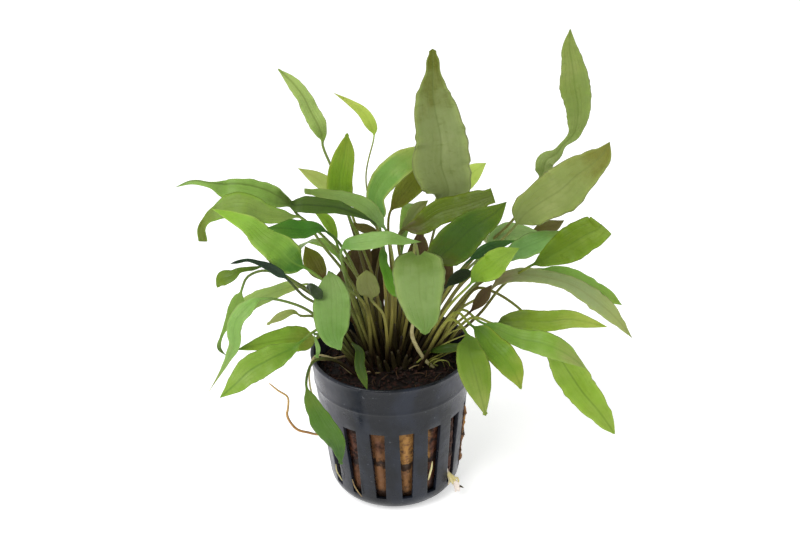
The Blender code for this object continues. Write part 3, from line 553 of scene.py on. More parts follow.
# What each finish looks like along the blade: base, middle and tip, then midrib and edge,
# the midrib's strength, and the strength of the cloudy patches. The colours were first chosen;
# a program then multiplied them by factors judged from readings of the photograph.
# Above 0.5, the strength of the cloudy patches also sets painted shade on one half of the blade and in its
# creases.
FINISHES = {
    "heart": ((100, 125, 54), (118, 141, 80), (95, 123, 56), (105, 127, 62), (132, 149, 83), 0.28, 0.5),
    "pale": ((113, 138, 74), (108, 139, 71), (89, 125, 51), (98, 129, 61), (120, 148, 78), 0.24, 0.5),
    "rim": ((88, 109, 37), (67, 100, 30), (49, 82, 24), (73, 104, 34), (76, 107, 31), 0.28, 0.55),
    "shade": ((41, 56, 14), (51, 73, 19), (65, 85, 24), (67, 85, 25), (67, 82, 22), 0.32, 0.5),
    "meadow": ((89, 118, 38), (98, 124, 37), (124, 140, 60), (84, 109, 34), (119, 137, 51), 0.35, 0.55),
    "second": ((79, 113, 29), (98, 132, 33), (131, 146, 54), (90, 124, 31), (137, 150, 52), 0.32, 0.5),
    "low": ((94, 135, 45), (114, 148, 52), (131, 144, 74), (94, 129, 45), (129, 158, 64), 0.35, 0.55),
    "lowest": ((124, 155, 51), (132, 163, 53), (132, 157, 59), (94, 125, 37), (152, 177, 69), 0.5, 0.55),
    "level": ((73, 90, 27), (122, 147, 44), (143, 158, 60), (102, 130, 40), (135, 154, 56), 0.35, 0.6),
    "long_arch": ((126, 117, 82), (135, 150, 96), (146, 157, 89), (122, 128, 72), (154, 161, 96), 0.32, 0.5),
    "arch_back": ((106, 141, 58), (124, 162, 65), (131, 160, 61), (112, 148, 54), (137, 173, 74), 0.28, 0.55),
    "big_green": ((78, 104, 29), (91, 116, 22), (104, 129, 32), (74, 102, 20), (108, 132, 36), 0.32, 0.9),
    "teal": ((111, 152, 82), (113, 154, 82), (126, 156, 77), (97, 139, 71), (139, 167, 94), 0.32, 0.7),
    "bright": ((98, 131, 39), (118, 150, 44), (112, 142, 42), (100, 135, 37), (143, 167, 66), 0.32, 0.55),
    "deep": ((27, 38, 18), (33, 46, 20), (40, 56, 24), (41, 55, 32), (49, 65, 37), 0.24, 0.55),
    "dark_green": ((37, 74, 27), (47, 86, 30), (65, 103, 38), (55, 91, 33), (61, 96, 34), 0.24, 0.55),
    "dark_gloss": ((64, 72, 14), (52, 79, 16), (74, 96, 14), (41, 63, 14), (82, 103, 19), 0.35, 0.6),
    "olive": ((72, 70, 20), (81, 99, 17), (78, 96, 16), (69, 83, 14), (102, 118, 26), 0.28, 0.5),
    "grey": ((90, 99, 52), (98, 110, 55), (110, 116, 55), (84, 93, 47), (118, 125, 66), 0.32, 0.5),
    "tall": ((112, 124, 74), (120, 132, 80), (90, 96, 28), (95, 109, 55), (140, 150, 89), 0.35, 1),
    "cool": ((96, 136, 64), (110, 149, 67), (141, 161, 77), (121, 155, 69), (176, 183, 94), 0.32, 0.6),
    "behind": ((106, 103, 30), (114, 122, 32), (118, 129, 37), (98, 106, 29), (129, 137, 45), 0.24, 0.55),
    "twisted": ((138, 156, 90), (113, 131, 62), (123, 137, 67), (91, 114, 40), (130, 143, 77), 0.35, 0.7),
    "broad": ((119, 133, 71), (126, 139, 74), (111, 113, 45), (100, 112, 54), (141, 149, 81), 0.35, 0.6),
    "brown": ((82, 77, 33), (91, 86, 38), (96, 91, 42), (77, 70, 28), (101, 98, 47), 0.24, 0.6),
    "wilted": ((64, 46, 22), (76, 62, 34), (80, 66, 34), (61, 42, 18), (94, 70, 32), 0.24, 0.8),
    "yellow": ((171, 194, 85), (186, 210, 96), (192, 214, 102), (163, 189, 78), (198, 217, 111), 0.24, 0.3),
    "vivid": ((86, 125, 33), (101, 134, 25), (114, 136, 33), (88, 123, 24), (138, 150, 49), 0.28, 0.55),
    "small_grey": ((126, 144, 66), (143, 158, 77), (153, 163, 82), (129, 142, 64), (159, 169, 89), 0.24, 0.3),
    "tall_left": ((116, 141, 62), (142, 164, 88), (146, 166, 91), (97, 112, 46), (159, 174, 102), 0.5, 0.55),
    "lime": ((153, 177, 66), (165, 184, 77), (169, 180, 84), (153, 173, 67), (175, 188, 91), 0.2, 0.3),
    "upper": ((101, 132, 66), (113, 141, 71), (108, 130, 60), (99, 126, 61), (134, 150, 79), 0.24, 0.55),
    "lower": ((52, 75, 22), (60, 83, 26), (66, 88, 30), (35, 54, 15), (70, 93, 34), 0.5, 0.5),
    "left_long": ((62, 80, 20), (120, 152, 68), (128, 159, 81), (75, 94, 31), (136, 161, 79), 0.5, 0.55),
    "curled": ((112, 134, 62), (117, 141, 61), (90, 104, 29), (101, 127, 52), (117, 154, 42), 0.28, 0.5),
    "left_bright": ((70, 114, 36), (128, 168, 63), (128, 166, 54), (132, 168, 66), (162, 184, 90), 0.32, 0.5),
    "left_deep": ((46, 85, 21), (53, 99, 23), (68, 106, 29), (46, 82, 20), (68, 107, 30), 0.32, 0.5),
    "olive_left": ((87, 61, 18), (91, 93, 23), (99, 104, 27), (89, 83, 26), (118, 119, 40), 0.24, 0.7),
    "crossing": ((98, 135, 64), (118, 150, 77), (110, 142, 69), (106, 139, 67), (131, 160, 87), 0.24, 0.55),
    "pale_right": ((118, 150, 84), (138, 166, 100), (142, 170, 102), (122, 154, 84), (150, 176, 110),
                   0.3, 0.5),
    "dull": ((96, 100, 46), (104, 110, 58), (108, 114, 60), (94, 101, 45), (118, 124, 64), 0.24, 0.5),
    "thin": ((79, 116, 43), (76, 121, 32), (87, 128, 35), (72, 112, 29), (91, 128, 39), 0.24, 0.55),
    "edge_on": ((35, 55, 34), (29, 46, 32), (31, 46, 32), (31, 46, 29), (45, 68, 40), 0.24, 0.55),
    "far_small": ((48, 68, 34), (90, 115, 33), (97, 120, 31), (76, 100, 28), (104, 124, 38), 0.24, 0.55),
    "droop": ((114, 144, 60), (112, 142, 59), (73, 91, 37), (100, 131, 54), (124, 152, 71), 0.28, 0.55),
    "left_pale": ((145, 163, 77), (137, 162, 81), (120, 152, 76), (122, 148, 67), (157, 175, 92), 0.35, 0.55),
    "long_droop": ((120, 160, 73), (124, 160, 82), (142, 142, 89), (107, 142, 70), (146, 171, 94),
                   0.35, 0.55),
    "tiny": ((110, 118, 52), (129, 142, 71), (137, 144, 81), (110, 124, 57), (137, 148, 77), 0.24, 0.45),
    "low_back": ((113, 119, 43), (124, 157, 54), (134, 161, 58), (94, 124, 33), (128, 153, 47), 0.35, 0.6),
    "low_front": ((90, 125, 37), (114, 145, 50), (122, 152, 54), (76, 112, 33), (126, 155, 61), 0.5, 0.55),
    "back": ((94, 125, 47), (110, 141, 50), (120, 146, 59), (92, 122, 42), (129, 152, 66), 0.35, 0.5),
}


def held_number(tree, name):
    """A number that the mesh holds for each of its points."""
    node = tree.nodes.new("ShaderNodeAttribute")
    node.attribute_name = name
    return node.outputs["Fac"]


def retinted(tree, colour, hue, saturation, value):
    """A colour with its hue turned away from 0.5 and its saturation and value multiplied."""
    node = tree.nodes.new("ShaderNodeHueSaturation")
    for key, number in (("Hue", hue), ("Saturation", saturation), ("Value", value)):
        node.inputs[key].default_value = number
    tree.links.new(colour, node.inputs["Color"])
    return node.outputs[0]


def stalk_colour(tree, place, cloud, along, blade):
    """Stalks run from green on the left over olive to yellow-green on the right. Their feet and cloudy
    patches are brown, painted shade in the same brown darkens their feet further and the stalks at
    the back, and each nears its blade's colour."""
    east, north, height = split_axes(tree, place)
    brown = seen(STALK_BROWN_AND_SHADE)
    tone = blend(tree, ease(tree, east, -14.0 * MM, -2.0 * MM), seen(STALK_LEFT), seen(STALK_MIDDLE))
    tone = blend(tree, ease(tree, east, 8.0 * MM, 20.0 * MM), tone, seen(STALK_RIGHT))
    # Painted shade: the feet, brown of their own, and the stalks at the back are darkened to brown.
    tone = blend(tree, ease(tree, height, 47.0 * MM, 62.0 * MM), brown, tone)
    tone = blend(tree, ease(tree, north, 1.0 * MM, 9.0 * MM, 0.0, 0.55), tone, brown)
    tone = blend(tree, ease(tree, cloud, 0.45, 0.75, 0.0, 0.35), tone, brown)
    return blend(tree, ease(tree, along, -0.5, 0.0, 0.0, 0.55), tone, seen(blade))


def leaf_material(name):
    """A leaf reads its own map: across runs from -1 to 1, along from -1 at the foot of the stalk
    over 0 at the blade's base to 1 at the tip. Side veins are lines of one share of the width.
    Dark and pale patches, streaks, painted shade in the creases and on one half of the blade, and a
    fine grain lie over the colours."""
    base, middle, tip, rib, edge, rib_strength, patches = FINISHES[name]
    painted_fold_shade = max(0.0, patches - 0.5)
    material, tree, shader, place = new_material("leaf_" + name)
    chart = tree.nodes.new("ShaderNodeUVMap")
    chart.uv_map = "leaf"
    across, along = split_axes(tree, chart.outputs[0])[:2]
    cloud = noise(tree, place, 5.5, 3.0)
    wide = noise(tree, place, 11.0, 2.0)
    fine = noise(tree, place, 1.3, 3.0)
    uneven = times(tree, math_node(tree, "SUBTRACT", cloud, 0.5), 0.5)
    shifted = plus(tree, along, uneven)
    colour = blend(tree, ease(tree, shifted, 0.02, 0.42), seen(base), seen(middle))
    colour = blend(tree, ease(tree, shifted, 0.54, 0.93), colour, seen(tip))
    offside = math_node(tree, "ABSOLUTE", across)
    colour = blend(tree, times(tree, ease(tree, offside, 0.66, 1.0), 0.55), colour, seen(edge))
    veins = math_node(tree, "COSINE", times(tree, offside, 2.0 * np.pi * (SIDE_VEINS + 0.5)))
    vein = times(tree, ease(tree, veins, 0.6, 1.0), ease(tree, cloud, 0.35, 0.6))
    colour = blend(tree, times(tree, vein, 0.12), colour, seen(rib))
    middle_line = ease(tree, held_number(tree, "rib_mm"), 0.5, 0.05)
    colour = blend(tree, times(tree, middle_line, rib_strength), colour, seen(rib))
    darker = retinted(tree, colour, 0.5, 1.12, 0.72)
    spots = times(tree, ease(tree, cloud, 0.52, 0.72), 0.45 * patches)
    colour = blend(tree, spots, colour, darker)
    paler = retinted(tree, colour, 0.49, 0.9, 1.25)
    light = times(tree, ease(tree, wide, 0.5, 0.72), 0.9 * patches)
    colour = blend(tree, light, colour, paler)
    streaks = noise(tree, chart.outputs[0], 210.0, 3.0, (1.0, 3.2, 1.0))
    creases = noise(tree, place, 2.4, 2.0, (1.5, 1.0, 0.6))
    # Painted shade: one half of the blade, where across is below 0, and its creases are darkened.
    for marks, strength in (
        (ease(tree, streaks, 0.5, 0.68), 0.35 * patches),
        (ease(tree, across, 0.05, -0.05), 0.9 * painted_fold_shade),
        (ease(tree, creases, 0.6, 0.7), 1.2 * painted_fold_shade),
        (ease(tree, fine, 0.4, 0.75), 0.28 * patches),
    ):
        colour = blend(tree, times(tree, marks, strength), colour, darker)
    stalk = stalk_colour(tree, place, cloud, along, middle)
    colour = blend(tree, ease(tree, along, -0.06, 0.03), stalk, colour)
    roughness = ease(tree, fine, 0.2, 0.8, 0.34, 0.52)
    relief = plus(tree, times(tree, vein, -0.5), fine)
    finish_surface(tree, shader, colour, roughness, LEAF_SPECULAR, relief, LEAF_GRAIN_DEPTH)
    shader.inputs["Subsurface Weight"].default_value = 0.12
    shader.inputs["Subsurface Radius"].default_value = (0.6, 1.0, 0.3)
    shader.inputs["Subsurface Scale"].default_value = 0.9 * MM
    return material


def smooth_course(points, widths_from):
    """A smooth curve through rows of x, y, z and width, cut finely and evenly.

    It is a Catmull-Rom spline whose parameter grows with the square root of each span. Returns the
    points along it, how far each is along the curve, and where along it the blade begins.
    """
    spans = np.sqrt(np.linalg.norm(np.diff(points[:, :3], axis=0), axis=1))
    knots = np.concatenate(((0.0,), np.cumsum(spans)))
    steps = np.diff(points, axis=0) / spans[:, None]
    inner = steps[:-1] * spans[1:, None] + steps[1:] * spans[:-1, None]
    inner /= (spans[1:] + spans[:-1])[:, None]
    slopes = np.concatenate((steps[:1], inner, steps[-1:]))
    at = np.linspace(0.0, knots[-1], 2000)
    i = np.clip(np.searchsorted(knots, at, side="right") - 1, 0, len(spans) - 1)
    s = ((at - knots[i]) / spans[i])[:, None]
    span = spans[i][:, None]
    curve = ((2 * s**3 - 3 * s**2 + 1) * points[i] + (s**3 - 2 * s**2 + s) * span * slopes[i]
             + (3 * s**2 - 2 * s**3) * points[i + 1] + (s**3 - s**2) * span * slopes[i + 1])
    strides = np.linalg.norm(np.diff(curve[:, :3], axis=0), axis=1)
    length = np.concatenate(((0.0,), np.cumsum(strides)))
    begin = np.interp(knots[widths_from], at, length)
    return curve, length, begin


def leaf_directions(rows, spine, face):
    """The ways along, across and out of the blade at each row: across is square to the spine and to
    the way the blade faces, and keeps its sign from the tip down."""
    ahead = np.gradient(spine, rows, axis=0)
    ahead /= np.linalg.norm(ahead, axis=1)[:, None]
    looks = np.array(face, dtype=float) / np.linalg.norm(face)
    side = np.cross(ahead, looks)
    side /= np.linalg.norm(side, axis=1)[:, None]
    flips = np.sign(np.sum(side[1:] * side[:-1], axis=1))
    side *= np.concatenate((np.cumprod(flips[::-1])[::-1], (1.0,)))[:, None]
    return ahead, side, np.cross(side, ahead)


def half_widths(rows, along, widths, pace, look):
    """Half the width at each row, a little uneven. The tip is rounded like a circle of the blunt
    radius, and a cut tip keeps its full width to the end."""
    half = np.where(along < 0.0, 0.0, np.maximum(widths, 0.0) / 2.0)
    half = half * (1.0 + 0.05 * look["wave"] * np.sin(1.7 * pace + 2.0 * np.sin(0.6 * pace)))
    tip_r = look.get("blunt", TIP_RADIUS)
    to_tip = (rows[-1] - rows) / tip_r
    bulb = tip_r * np.sqrt(1.0 - np.clip(1.0 - to_tip, 0.0, 1.0) ** 2)
    bulb = bulb * np.exp(-np.maximum(to_tip - 1.0, 0.0)) * (along > 0.5)
    cut = look.get("cut", 0.0) / 2.0 * np.clip((along - 0.6) / 0.1, 0.0, 1.0)
    return np.maximum(np.maximum(half, bulb), cut)


def leaf_surface(seed, look, face, root, stalk, blade, tip):
    """A closed sheet on a grid of rows along the leaf and columns round it.

    Each row is a ring: its upper half runs from one edge to the other, its lower half back. On the
    stalk the ring is a circle; where the leaf widens it eases into a thin lens with a rib below.
    The lens is folded up at its edges, waved along them, and puckered between its side veins.
    """
    points = [(*root, STALK_START, 0.0)] + [(*point, 0.0) for point in stalk]
    points = np.array(points + list(blade) + [(*tip, 0.0)], dtype=float)
    curve, length, begin = smooth_course(points, len(stalk))
    end = length[-1]
    rows_low = np.linspace(0.0, begin, max(4, int(begin / STALK_ROW)), endpoint=False)
    rows_high = np.linspace(begin, end, max(12, int((end - begin) / BLADE_ROW)))
    rows = np.concatenate((rows_low, rows_high))
    middle = np.stack([np.interp(rows, length, curve[:, k]) for k in range(4)], 1)
    spine = middle[:, :3]
    ahead, side, up = leaf_directions(rows, spine, face)

    along = np.where(rows < begin, rows / begin - 1.0, (rows - begin) / (end - begin))
    pace = 2.0 * np.pi * rows / look.get("wave_length", WAVE_LENGTH) + seed
    half = half_widths(rows, along, middle[:, 3], pace, look)[:, None]
    rows, along, pace = rows[:, None], along[:, None], pace[:, None]
    flat = np.maximum(np.clip((half - 0.45) / 1.3, 0.0, 1.0), np.clip(along / 0.14, 0.0, 1.0))
    flat = flat * flat * (3.0 - 2.0 * flat)
    lean = np.interp(along, (0.0, 1.0), look.get("lean", (0.0, 0.0)))
    u = np.linspace(-1.0, 1.0, 2 * HALF_COLUMNS + 1)
    u = np.concatenate((u, u[-2:0:-1]))[None, :]
    upper = np.concatenate((np.ones(2 * HALF_COLUMNS + 1), -np.ones(2 * HALF_COLUMNS - 1)))[None, :]
    offside = np.abs(u)
    leaning = 1.0 - lean * np.sign(u)
    stalk_r = look.get("stalk", STALK_RADIUS) * np.interp(along, STALK_ROWS, STALK_SHARES)
    round_x = stalk_r * np.sin(np.pi / 2.0 * u)
    round_z = stalk_r * upper * np.cos(np.pi / 2.0 * u)
    width = np.where(along < 0.3, np.maximum(half, stalk_r * 0.6), half)
    thin = np.minimum(width / 1.2, 1.0)
    lens = BLADE_THICKNESS * (1.0 - offside**2) + EDGE_THICKNESS * (1.0 - offside**6)
    lens = lens / 2.0 * upper * thin
    from_rib = width * offside * leaning
    rib = thin * np.interp(along, (0.0, 1.0), (RIB_RADIUS, 0.05)) * np.exp(-(from_rib / 0.55) ** 2)
    lens = lens + np.where(upper < 0, -rib, -0.35 * rib)
    fold = look["fold"] * (1.0 - 0.5 * np.clip(along, 0.0, 1.0)) * width * offside**1.4
    beat = np.sin(pace + np.where(u < 0, 0.0, 1.9) + 1.3 * np.sin(0.53 * pace))
    ripple = look["wave"] * np.minimum(width / 4.0, 1.0) * offside**2.2 * beat
    between_veins = np.cos(2.0 * np.pi * (SIDE_VEINS + 0.5) * offside)
    patchy = 0.6 + 0.4 * np.sin(2.3 * rows + 3.0 * offside + np.where(u < 0, 0.0, 1.0))
    pucker = PUCKER_DEPTH * np.minimum(width / 3.0, 1.0) * between_veins * (1.0 - offside) * patchy
    x = round_x * (1.0 - flat) + width * (lean + u * leaning) * flat
    z = round_z * (1.0 - flat) + (lens + fold + ripple - pucker) * flat
    lobe = look.get("lobe", 0.0) * offside**1.2 * np.exp(-np.maximum(rows - begin, 0.0) / 4.0) * flat
    ring = spine[:, None, :] + side[:, None, :] * x[..., None] + up[:, None, :] * z[..., None]
    ring = ring - ahead[:, None, :] * lobe[..., None]
    chart = np.stack(np.broadcast_arrays(u, along), -1).reshape(-1, 2)
    return ring.reshape(-1, 3), closed_faces(len(rows), u.size), chart, from_rib.ravel()


def outward(points, faces):
    """Turn every face over if the closed mesh encloses a negative volume."""
    quads = np.array([face for face in faces if len(face) == 4])
    a, b, c, d = (points[quads[:, k]] for k in range(4))
    volume = np.sum(a * np.cross(b, c)) + np.sum(a * np.cross(c, d))
    return [face[::-1] for face in faces] if volume < 0 else faces


# One row for each leaf: name, slot, finish, look, the way the blade faces, root on the medium,
# stalk points, midrib points with widths, and tip. Nearly all of them repeat the solids' points,
# which were read off the photograph, turned into millimetres by a program and rounded. A look says
# how far the edges fold and wave and, where it's special, how blunt or cut the tip is, how long a
# wave is, how far the base's lobes reach back, how the midrib leans, and how thick the stalk is.
LEAVES = [
    # The front of the pot
    ("heart_front", "leaf_pale", "heart", {"fold": 0.1, "wave": 0.25, "lobe": 2.6, "blunt": 1.6},
     (0, -0.8, 0.6), (2, -1.5), [(7, -3, 70), (8.3, -8.5, 88.8), (9, -13, 87)],
     [(9, -14.5, 86, 11.5), (9, -18, 84.9, 14.6), (9, -21, 84, 14.8), (9, -26, 81.4, 13),
      (9.5, -30, 79, 10.5), (10, -33, 76.6, 7.5)], (10, -35.4, 74)),
    ("pale_front_left", "leaf_pale", "pale", {"fold": 0.08, "wave": 0.3, "blunt": 0.8},
     (0, -0.85, 0.5), (-6, -4), [(-7, -4, 65.4), (-12.1, -9, 75.5), (-16.8, -13, 82.8)],
     [(-16.6, -15, 82.6, 3.4), (-16.2, -17, 81.4, 6.6), (-15.9, -21, 79, 10.2), (-15.9, -26, 76.9, 10.6),
      (-15.7, -30, 74.4, 9.3), (-15.1, -33, 72.2, 6.2)], (-13.4, -36, 70.4)),
    ("rim_left", "leaf_dark", "rim", {"fold": 0.12, "wave": 0.3, "blunt": 0.9},
     (-0.3, -0.95, 0.1), (-10, -7.5), [(-17, -10, 51), (-23, -17, 55), (-25, -22, 51)],
     [(-24, -24, 47, 4), (-22, -26, 43, 6.5), (-20, -27, 39, 8), (-17, -27, 33, 6)], (-16, -26, 24)),
    ("rim_small", "leaf_dark", "shade", {"fold": 0.15, "wave": 0.2},
     (0, -0.9, 0.3), (-5, -7), [(-11, -17, 61)],
     [(-9, -20, 60, 2.5), (-9, -23, 57, 3), (-8, -25, 54, 2.5)], (-7, -27, 51)),
    # The right side, from the lowest leaf to the highest
    ("right_hanging", "leaf_green", "meadow", {"fold": 0.15, "wave": 0.25, "blunt": 0.8},
     (0.1, -0.9, 0.4), (8, -5.5), [(18, -10, 64), (22, -17, 64)],
     [(23, -20, 62, 5), (23, -24, 61, 8), (24, -27, 57, 9.5), (25, -29, 53, 8),
      (26, -31, 49, 4.5)], (27, -32, 44)),
    ("right_second", "leaf_olive", "second", {"fold": 0.18, "wave": 0.35, "blunt": 0.6},
     (0.1, -0.8, 0.6), (9, -3.5), [(20, -6, 64), (24, -12, 63)],
     [(27, -15, 62, 5), (30, -18, 59, 7.5), (33, -21, 57, 8), (36, -23, 53, 6)], (38, -25, 48)),
    ("right_low", "leaf_green", "low", {"fold": 0.12, "wave": 0.3},
     (0.1, -0.7, 0.7), (12, -2.5), [(22, -1, 62), (27, -5, 60)],
     [(32, -8, 59, 4), (39, -11, 57, 6), (45, -14, 57, 7.5), (51, -16, 55, 6.5)], (58, -18, 50)),
    ("right_lowest", "leaf_green", "lowest", {"fold": 0.17, "wave": 0.45, "blunt": 0.6},
     (0.15, -0.8, 0.55), (14, 2), [(27, 10, 63), (32, 10, 62), (41, 8, 56), (48, 2, 48)],
     [(51, -2, 46, 7), (55, -4, 40, 10.5), (59, -6, 34, 10), (64, -8, 28, 7.5),
      (67, -10, 24, 4.5)], (69, -11, 21)),
    ("right_level", "leaf_olive", "level", {"fold": 0.15, "wave": 0.3},
     (0, -0.8, 0.6), (13, -1), [(25, -1, 59), (32, 0, 56)],
     [(35, -1, 57, 4), (40, -2, 58, 6.5), (47, -3, 58, 6.5), (55, -4, 59, 5.5),
      (61, -5, 58, 3)], (66, -6, 57)),
    ("right_long_arch", "leaf_grey", "long_arch", {"fold": 0.1, "wave": 0.5},
     (0.2, -0.75, 0.65), (10.5, 3), [(21, 5, 58), (30, 5, 64)],
     [(35, 5, 69, 3.5), (41, 5, 70, 4.5), (48, 5, 69, 4.5), (56, 5, 66, 5), (64, 5, 60, 6.5),
      (70, 5, 54, 4.5)], (76, 5, 46)),
    ("right_arch_back", "leaf_green", "arch_back", {"fold": 0.1, "wave": 0.4},
     (0.2, -0.6, 0.75), (12, 5), [(29, 14, 63), (47, 14, 67)],
     [(52, 14, 66, 4), (59, 14, 63, 6), (65, 14, 59, 6), (70, 14, 56, 4)], (74, 14, 53)),
    ("right_big_green", "leaf_olive", "big_green", {"fold": 0.08, "wave": 0.3, "cut": 8},
     (0, -0.8, 0.6), (10.5, 0.5), [(28, 8, 55), (35, 9, 64), (43, 3, 74)],
     [(46, 2, 76, 3.5), (50, 1, 79, 7.5), (54, 0, 82, 10.5), (59, -1, 86, 10),
      (62, -2, 88, 8)], (63, -3, 90)),
    ("right_teal", "leaf_teal", "teal", {"fold": 0.1, "wave": 0.4},
     (0.1, -0.5, 0.87), (9, 5), [(25, 9, 63), (34, 10, 71)],
     [(38, 11, 74, 5), (43, 12, 76, 8), (49, 13, 78, 6)], (56, 14, 80)),
    ("right_bright", "leaf_bright", "bright", {"fold": 0.1, "wave": 0.4},
     (0.1, -0.75, 0.65), (7, -1.5), [(18, -4, 65), (24, -6, 73)],
     [(27, -8, 78, 6), (30, -10, 81, 8), (33, -12, 85, 6.5)], (38, -14, 89)),
    ("right_deep", "leaf_deep", "deep", {"fold": 0.1, "wave": 0.2},
     (0.1, -0.6, 0.8), (6, 0.5), [(13, 0, 63), (17, 0, 69)],
     [(20, 0, 72, 3.5), (23, -1, 74, 4)], (26, -2, 75)),
    ("right_dark", "leaf_dark", "dark_green", {"fold": 0.15, "wave": 0.3},
     (0.1, -0.6, 0.8), (7.5, 1.5), [(16, 3, 63), (24, 3, 76)],
     [(28, 3, 79, 3.5), (32, 3, 81, 3.5)], (39, 3, 83)),
    # The middle, with the tall leaves and those that show behind them
    ("dark_centre", "leaf_dark", "dark_gloss", {"fold": 0.16, "wave": 0.4},
     (0.15, -0.85, 0.5), (4, -1), [(12, -3, 67), (14, -5, 78)],
     [(16, -6, 83, 9), (20, -6, 87, 11.5), (25, -6, 92, 10), (31, -6, 96, 6)], (35, -6, 100)),
    ("olive_centre", "leaf_olive", "olive", {"fold": 0.14, "wave": 0.35, "cut": 4.6},
     (0.1, -0.8, 0.6), (2, 2.5), [(5, 2, 68), (4, 5, 86)],
     [(10, 5, 88, 6), (16, 5, 92, 7.5), (23, 5, 94, 7), (29, 5, 96, 5.5)], (32, 5, 97)),
    ("grey_centre", "leaf_grey", "grey", {"fold": 0.14, "wave": 0.3},
     (-0.2, -0.9, 0.4), (1.5, 4.5), [(4, 8, 68), (4, 11, 81)],
     [(7, 12, 86, 3.5), (10, 13, 90, 4)], (13, 14, 92)),
    ("tall_centre", "leaf_grey", "tall", {"fold": 0.15, "wave": 0.5, "wave_length": 9, "blunt": 1.2},
     (0.05, -0.95, 0.3), (4, 3), [(10, 8, 66), (16, 10, 89)],
     [(19, 10, 96, 12), (17, 10, 105, 17), (17, 10, 113, 15.5), (15, 10, 126, 11), (15, 10, 134, 4.5),
      (15, 10, 138, 3.5)], (15, 10, 141)),
    ("left_of_centre", "leaf_teal", "cool", {"fold": 0.12, "wave": 0.35},
     (0.1, -0.9, 0.5), (-1, 3.5), [(0, 6, 69), (-2, 8, 87)],
     [(-2, 9, 90, 4), (-3, 10, 95, 5.5), (-1, 12, 99, 7.5), (3, 13, 103, 8),
      (8, 15, 106, 6.5)], (12, 17, 109)),
    ("olive_behind", "leaf_olive", "behind", {"fold": 0.12, "wave": 0.3},
     (0.1, -0.9, 0.4), (0.5, 6), [(1, 12, 68), (1, 18, 86)],
     [(4, 19, 90, 5), (8, 20, 95, 8), (12, 21, 100, 7.5)], (14, 22, 106)),
    ("tall_right_twisted", "leaf_grey", "twisted",
     {"fold": 0.1, "wave": 0.45, "wave_length": 6, "blunt": 0.5},
     (0.1, -0.9, 0.35), (6, 7.5), [(26, 22, 66), (40, 16.5, 84.5), (47, 18, 96)],
     [(48, 18, 98, 4.5), (49, 18, 102, 5.5), (52, 18, 104, 3.5), (54, 18, 107, 2), (57, 18, 110, 3.5),
      (58, 18, 114, 6), (58, 18, 120, 8), (57, 18, 125, 9.5), (56, 18, 132, 7),
      (55, 18, 137, 5)], (55, 18, 143)),
    ("right_broad", "leaf_grey", "broad", {"fold": 0.14, "wave": 0.4, "wave_length": 8},
     (0, -0.95, 0.3), (8, 3), [(21, 10, 63), (39, 12, 83)],
     [(42, 12, 87, 9.5), (47, 12, 91, 12), (53, 12, 95, 14.5), (57, 12, 99, 12.5), (62, 12, 103, 9),
      (65, 12, 106, 6)], (67, 12, 110)),
    ("brown_behind_right", "leaf_brown", "brown", {"fold": 0.12, "wave": 0.3},
     (0, -0.8, 0.6), (11, 8), [(23, 20, 59), (45, 26, 73)],
     [(49, 27, 75, 3), (53, 28, 75, 4)], (57, 30, 76)),
    ("pale_behind_right", "leaf_teal", "pale_right", {"fold": 0.12, "wave": 0.3},
     (0, -0.8, 0.6), (9, 7), [(17, 15, 58), (31, 18, 72)],
     [(33, 19, 74, 4.5), (37, 20, 77, 6.5), (42, 21, 77, 4.5)], (48, 22, 76)),
    ("yellow_behind", "leaf_yellow", "yellow", {"fold": 0.1, "wave": 0.3},
     (0.1, -0.9, 0.4), (3.5, 7.5), [(8, 18, 66), (14, 25, 82)],
     [(17, 26, 85, 4.5), (23, 28, 90, 6.5), (28, 30, 94, 5.5)], (32, 32, 96)),
    # The upper left
    ("upright_left", "leaf_bright", "vivid", {"fold": 0.18, "wave": 0.25, "blunt": 0.6},
     (0.1, -0.95, 0.2), (-2.5, 2), [(-4, 5, 68), (-11, 5, 92)],
     [(-13, 4, 99, 7), (-13, 3, 105, 7.5), (-11, 2, 114, 5.5)], (-10, 1, 120)),
    ("small_behind_left", "leaf_grey", "small_grey", {"fold": 0.1, "wave": 0.25},
     (0, -0.8, 0.6), (-3, 6), [(-6, 14, 65), (-12, 20, 89)],
     [(-16, 22, 93, 4.5), (-21, 24, 96, 4.5)], (-27, 26, 99)),
    ("tall_left", "leaf_green", "tall_left", {"fold": 0.2, "wave": 0.6, "wave_length": 6.5, "blunt": 0.5},
     (0.25, -0.9, 0.3), (-3.5, 4), [(-7, 9, 70), (-15, 13, 102), (-18, 14, 111)],
     [(-18, 15, 113, 2.5), (-19, 15, 117, 5), (-21, 16, 121, 5), (-23, 16, 126, 4.5),
      (-26, 17, 130, 3.5)], (-30, 18, 134)),
    ("small_high_left", "leaf_yellow", "lime", {"fold": 0.1, "wave": 0.2, "stalk": 0.26},
     (-0.3, -0.9, 0.3), (-1, 7.5), [(-1, 20, 67), (-6, 27, 94), (-3, 29, 107)],
     [(-3, 29, 109, 2.5), (-4, 29, 112, 4), (-6, 30, 115, 3.5), (-10, 31, 118, 2)], (-15, 32, 121)),
    ("grey_upper", "leaf_teal", "upper", {"fold": 0.1, "wave": 0.3, "cut": 2},
     (0, -0.6, 0.8), (0.5, 0), [(2, 1, 72), (0, 0, 89)],
     [(-2, 0, 92, 4), (-5, -1, 97, 5), (-10, -1, 100, 4.5), (-15, -2, 102, 3.5),
      (-20, -2, 103, 2.5)], (-23, -3, 104)),
    ("grey_lower", "leaf_dark", "lower", {"fold": 0.12, "wave": 0.3},
     (0, -0.6, 0.8), (-1.5, 0.5), [(-1, -2, 72), (-3, -4, 93)],
     [(-6, -5, 96, 1.5), (-10, -5, 98, 3), (-14, -6, 100, 4.5), (-18, -7, 101, 5), (-23, -8, 102, 5.5),
      (-26, -8, 102, 3.5)], (-27, -9, 104)),
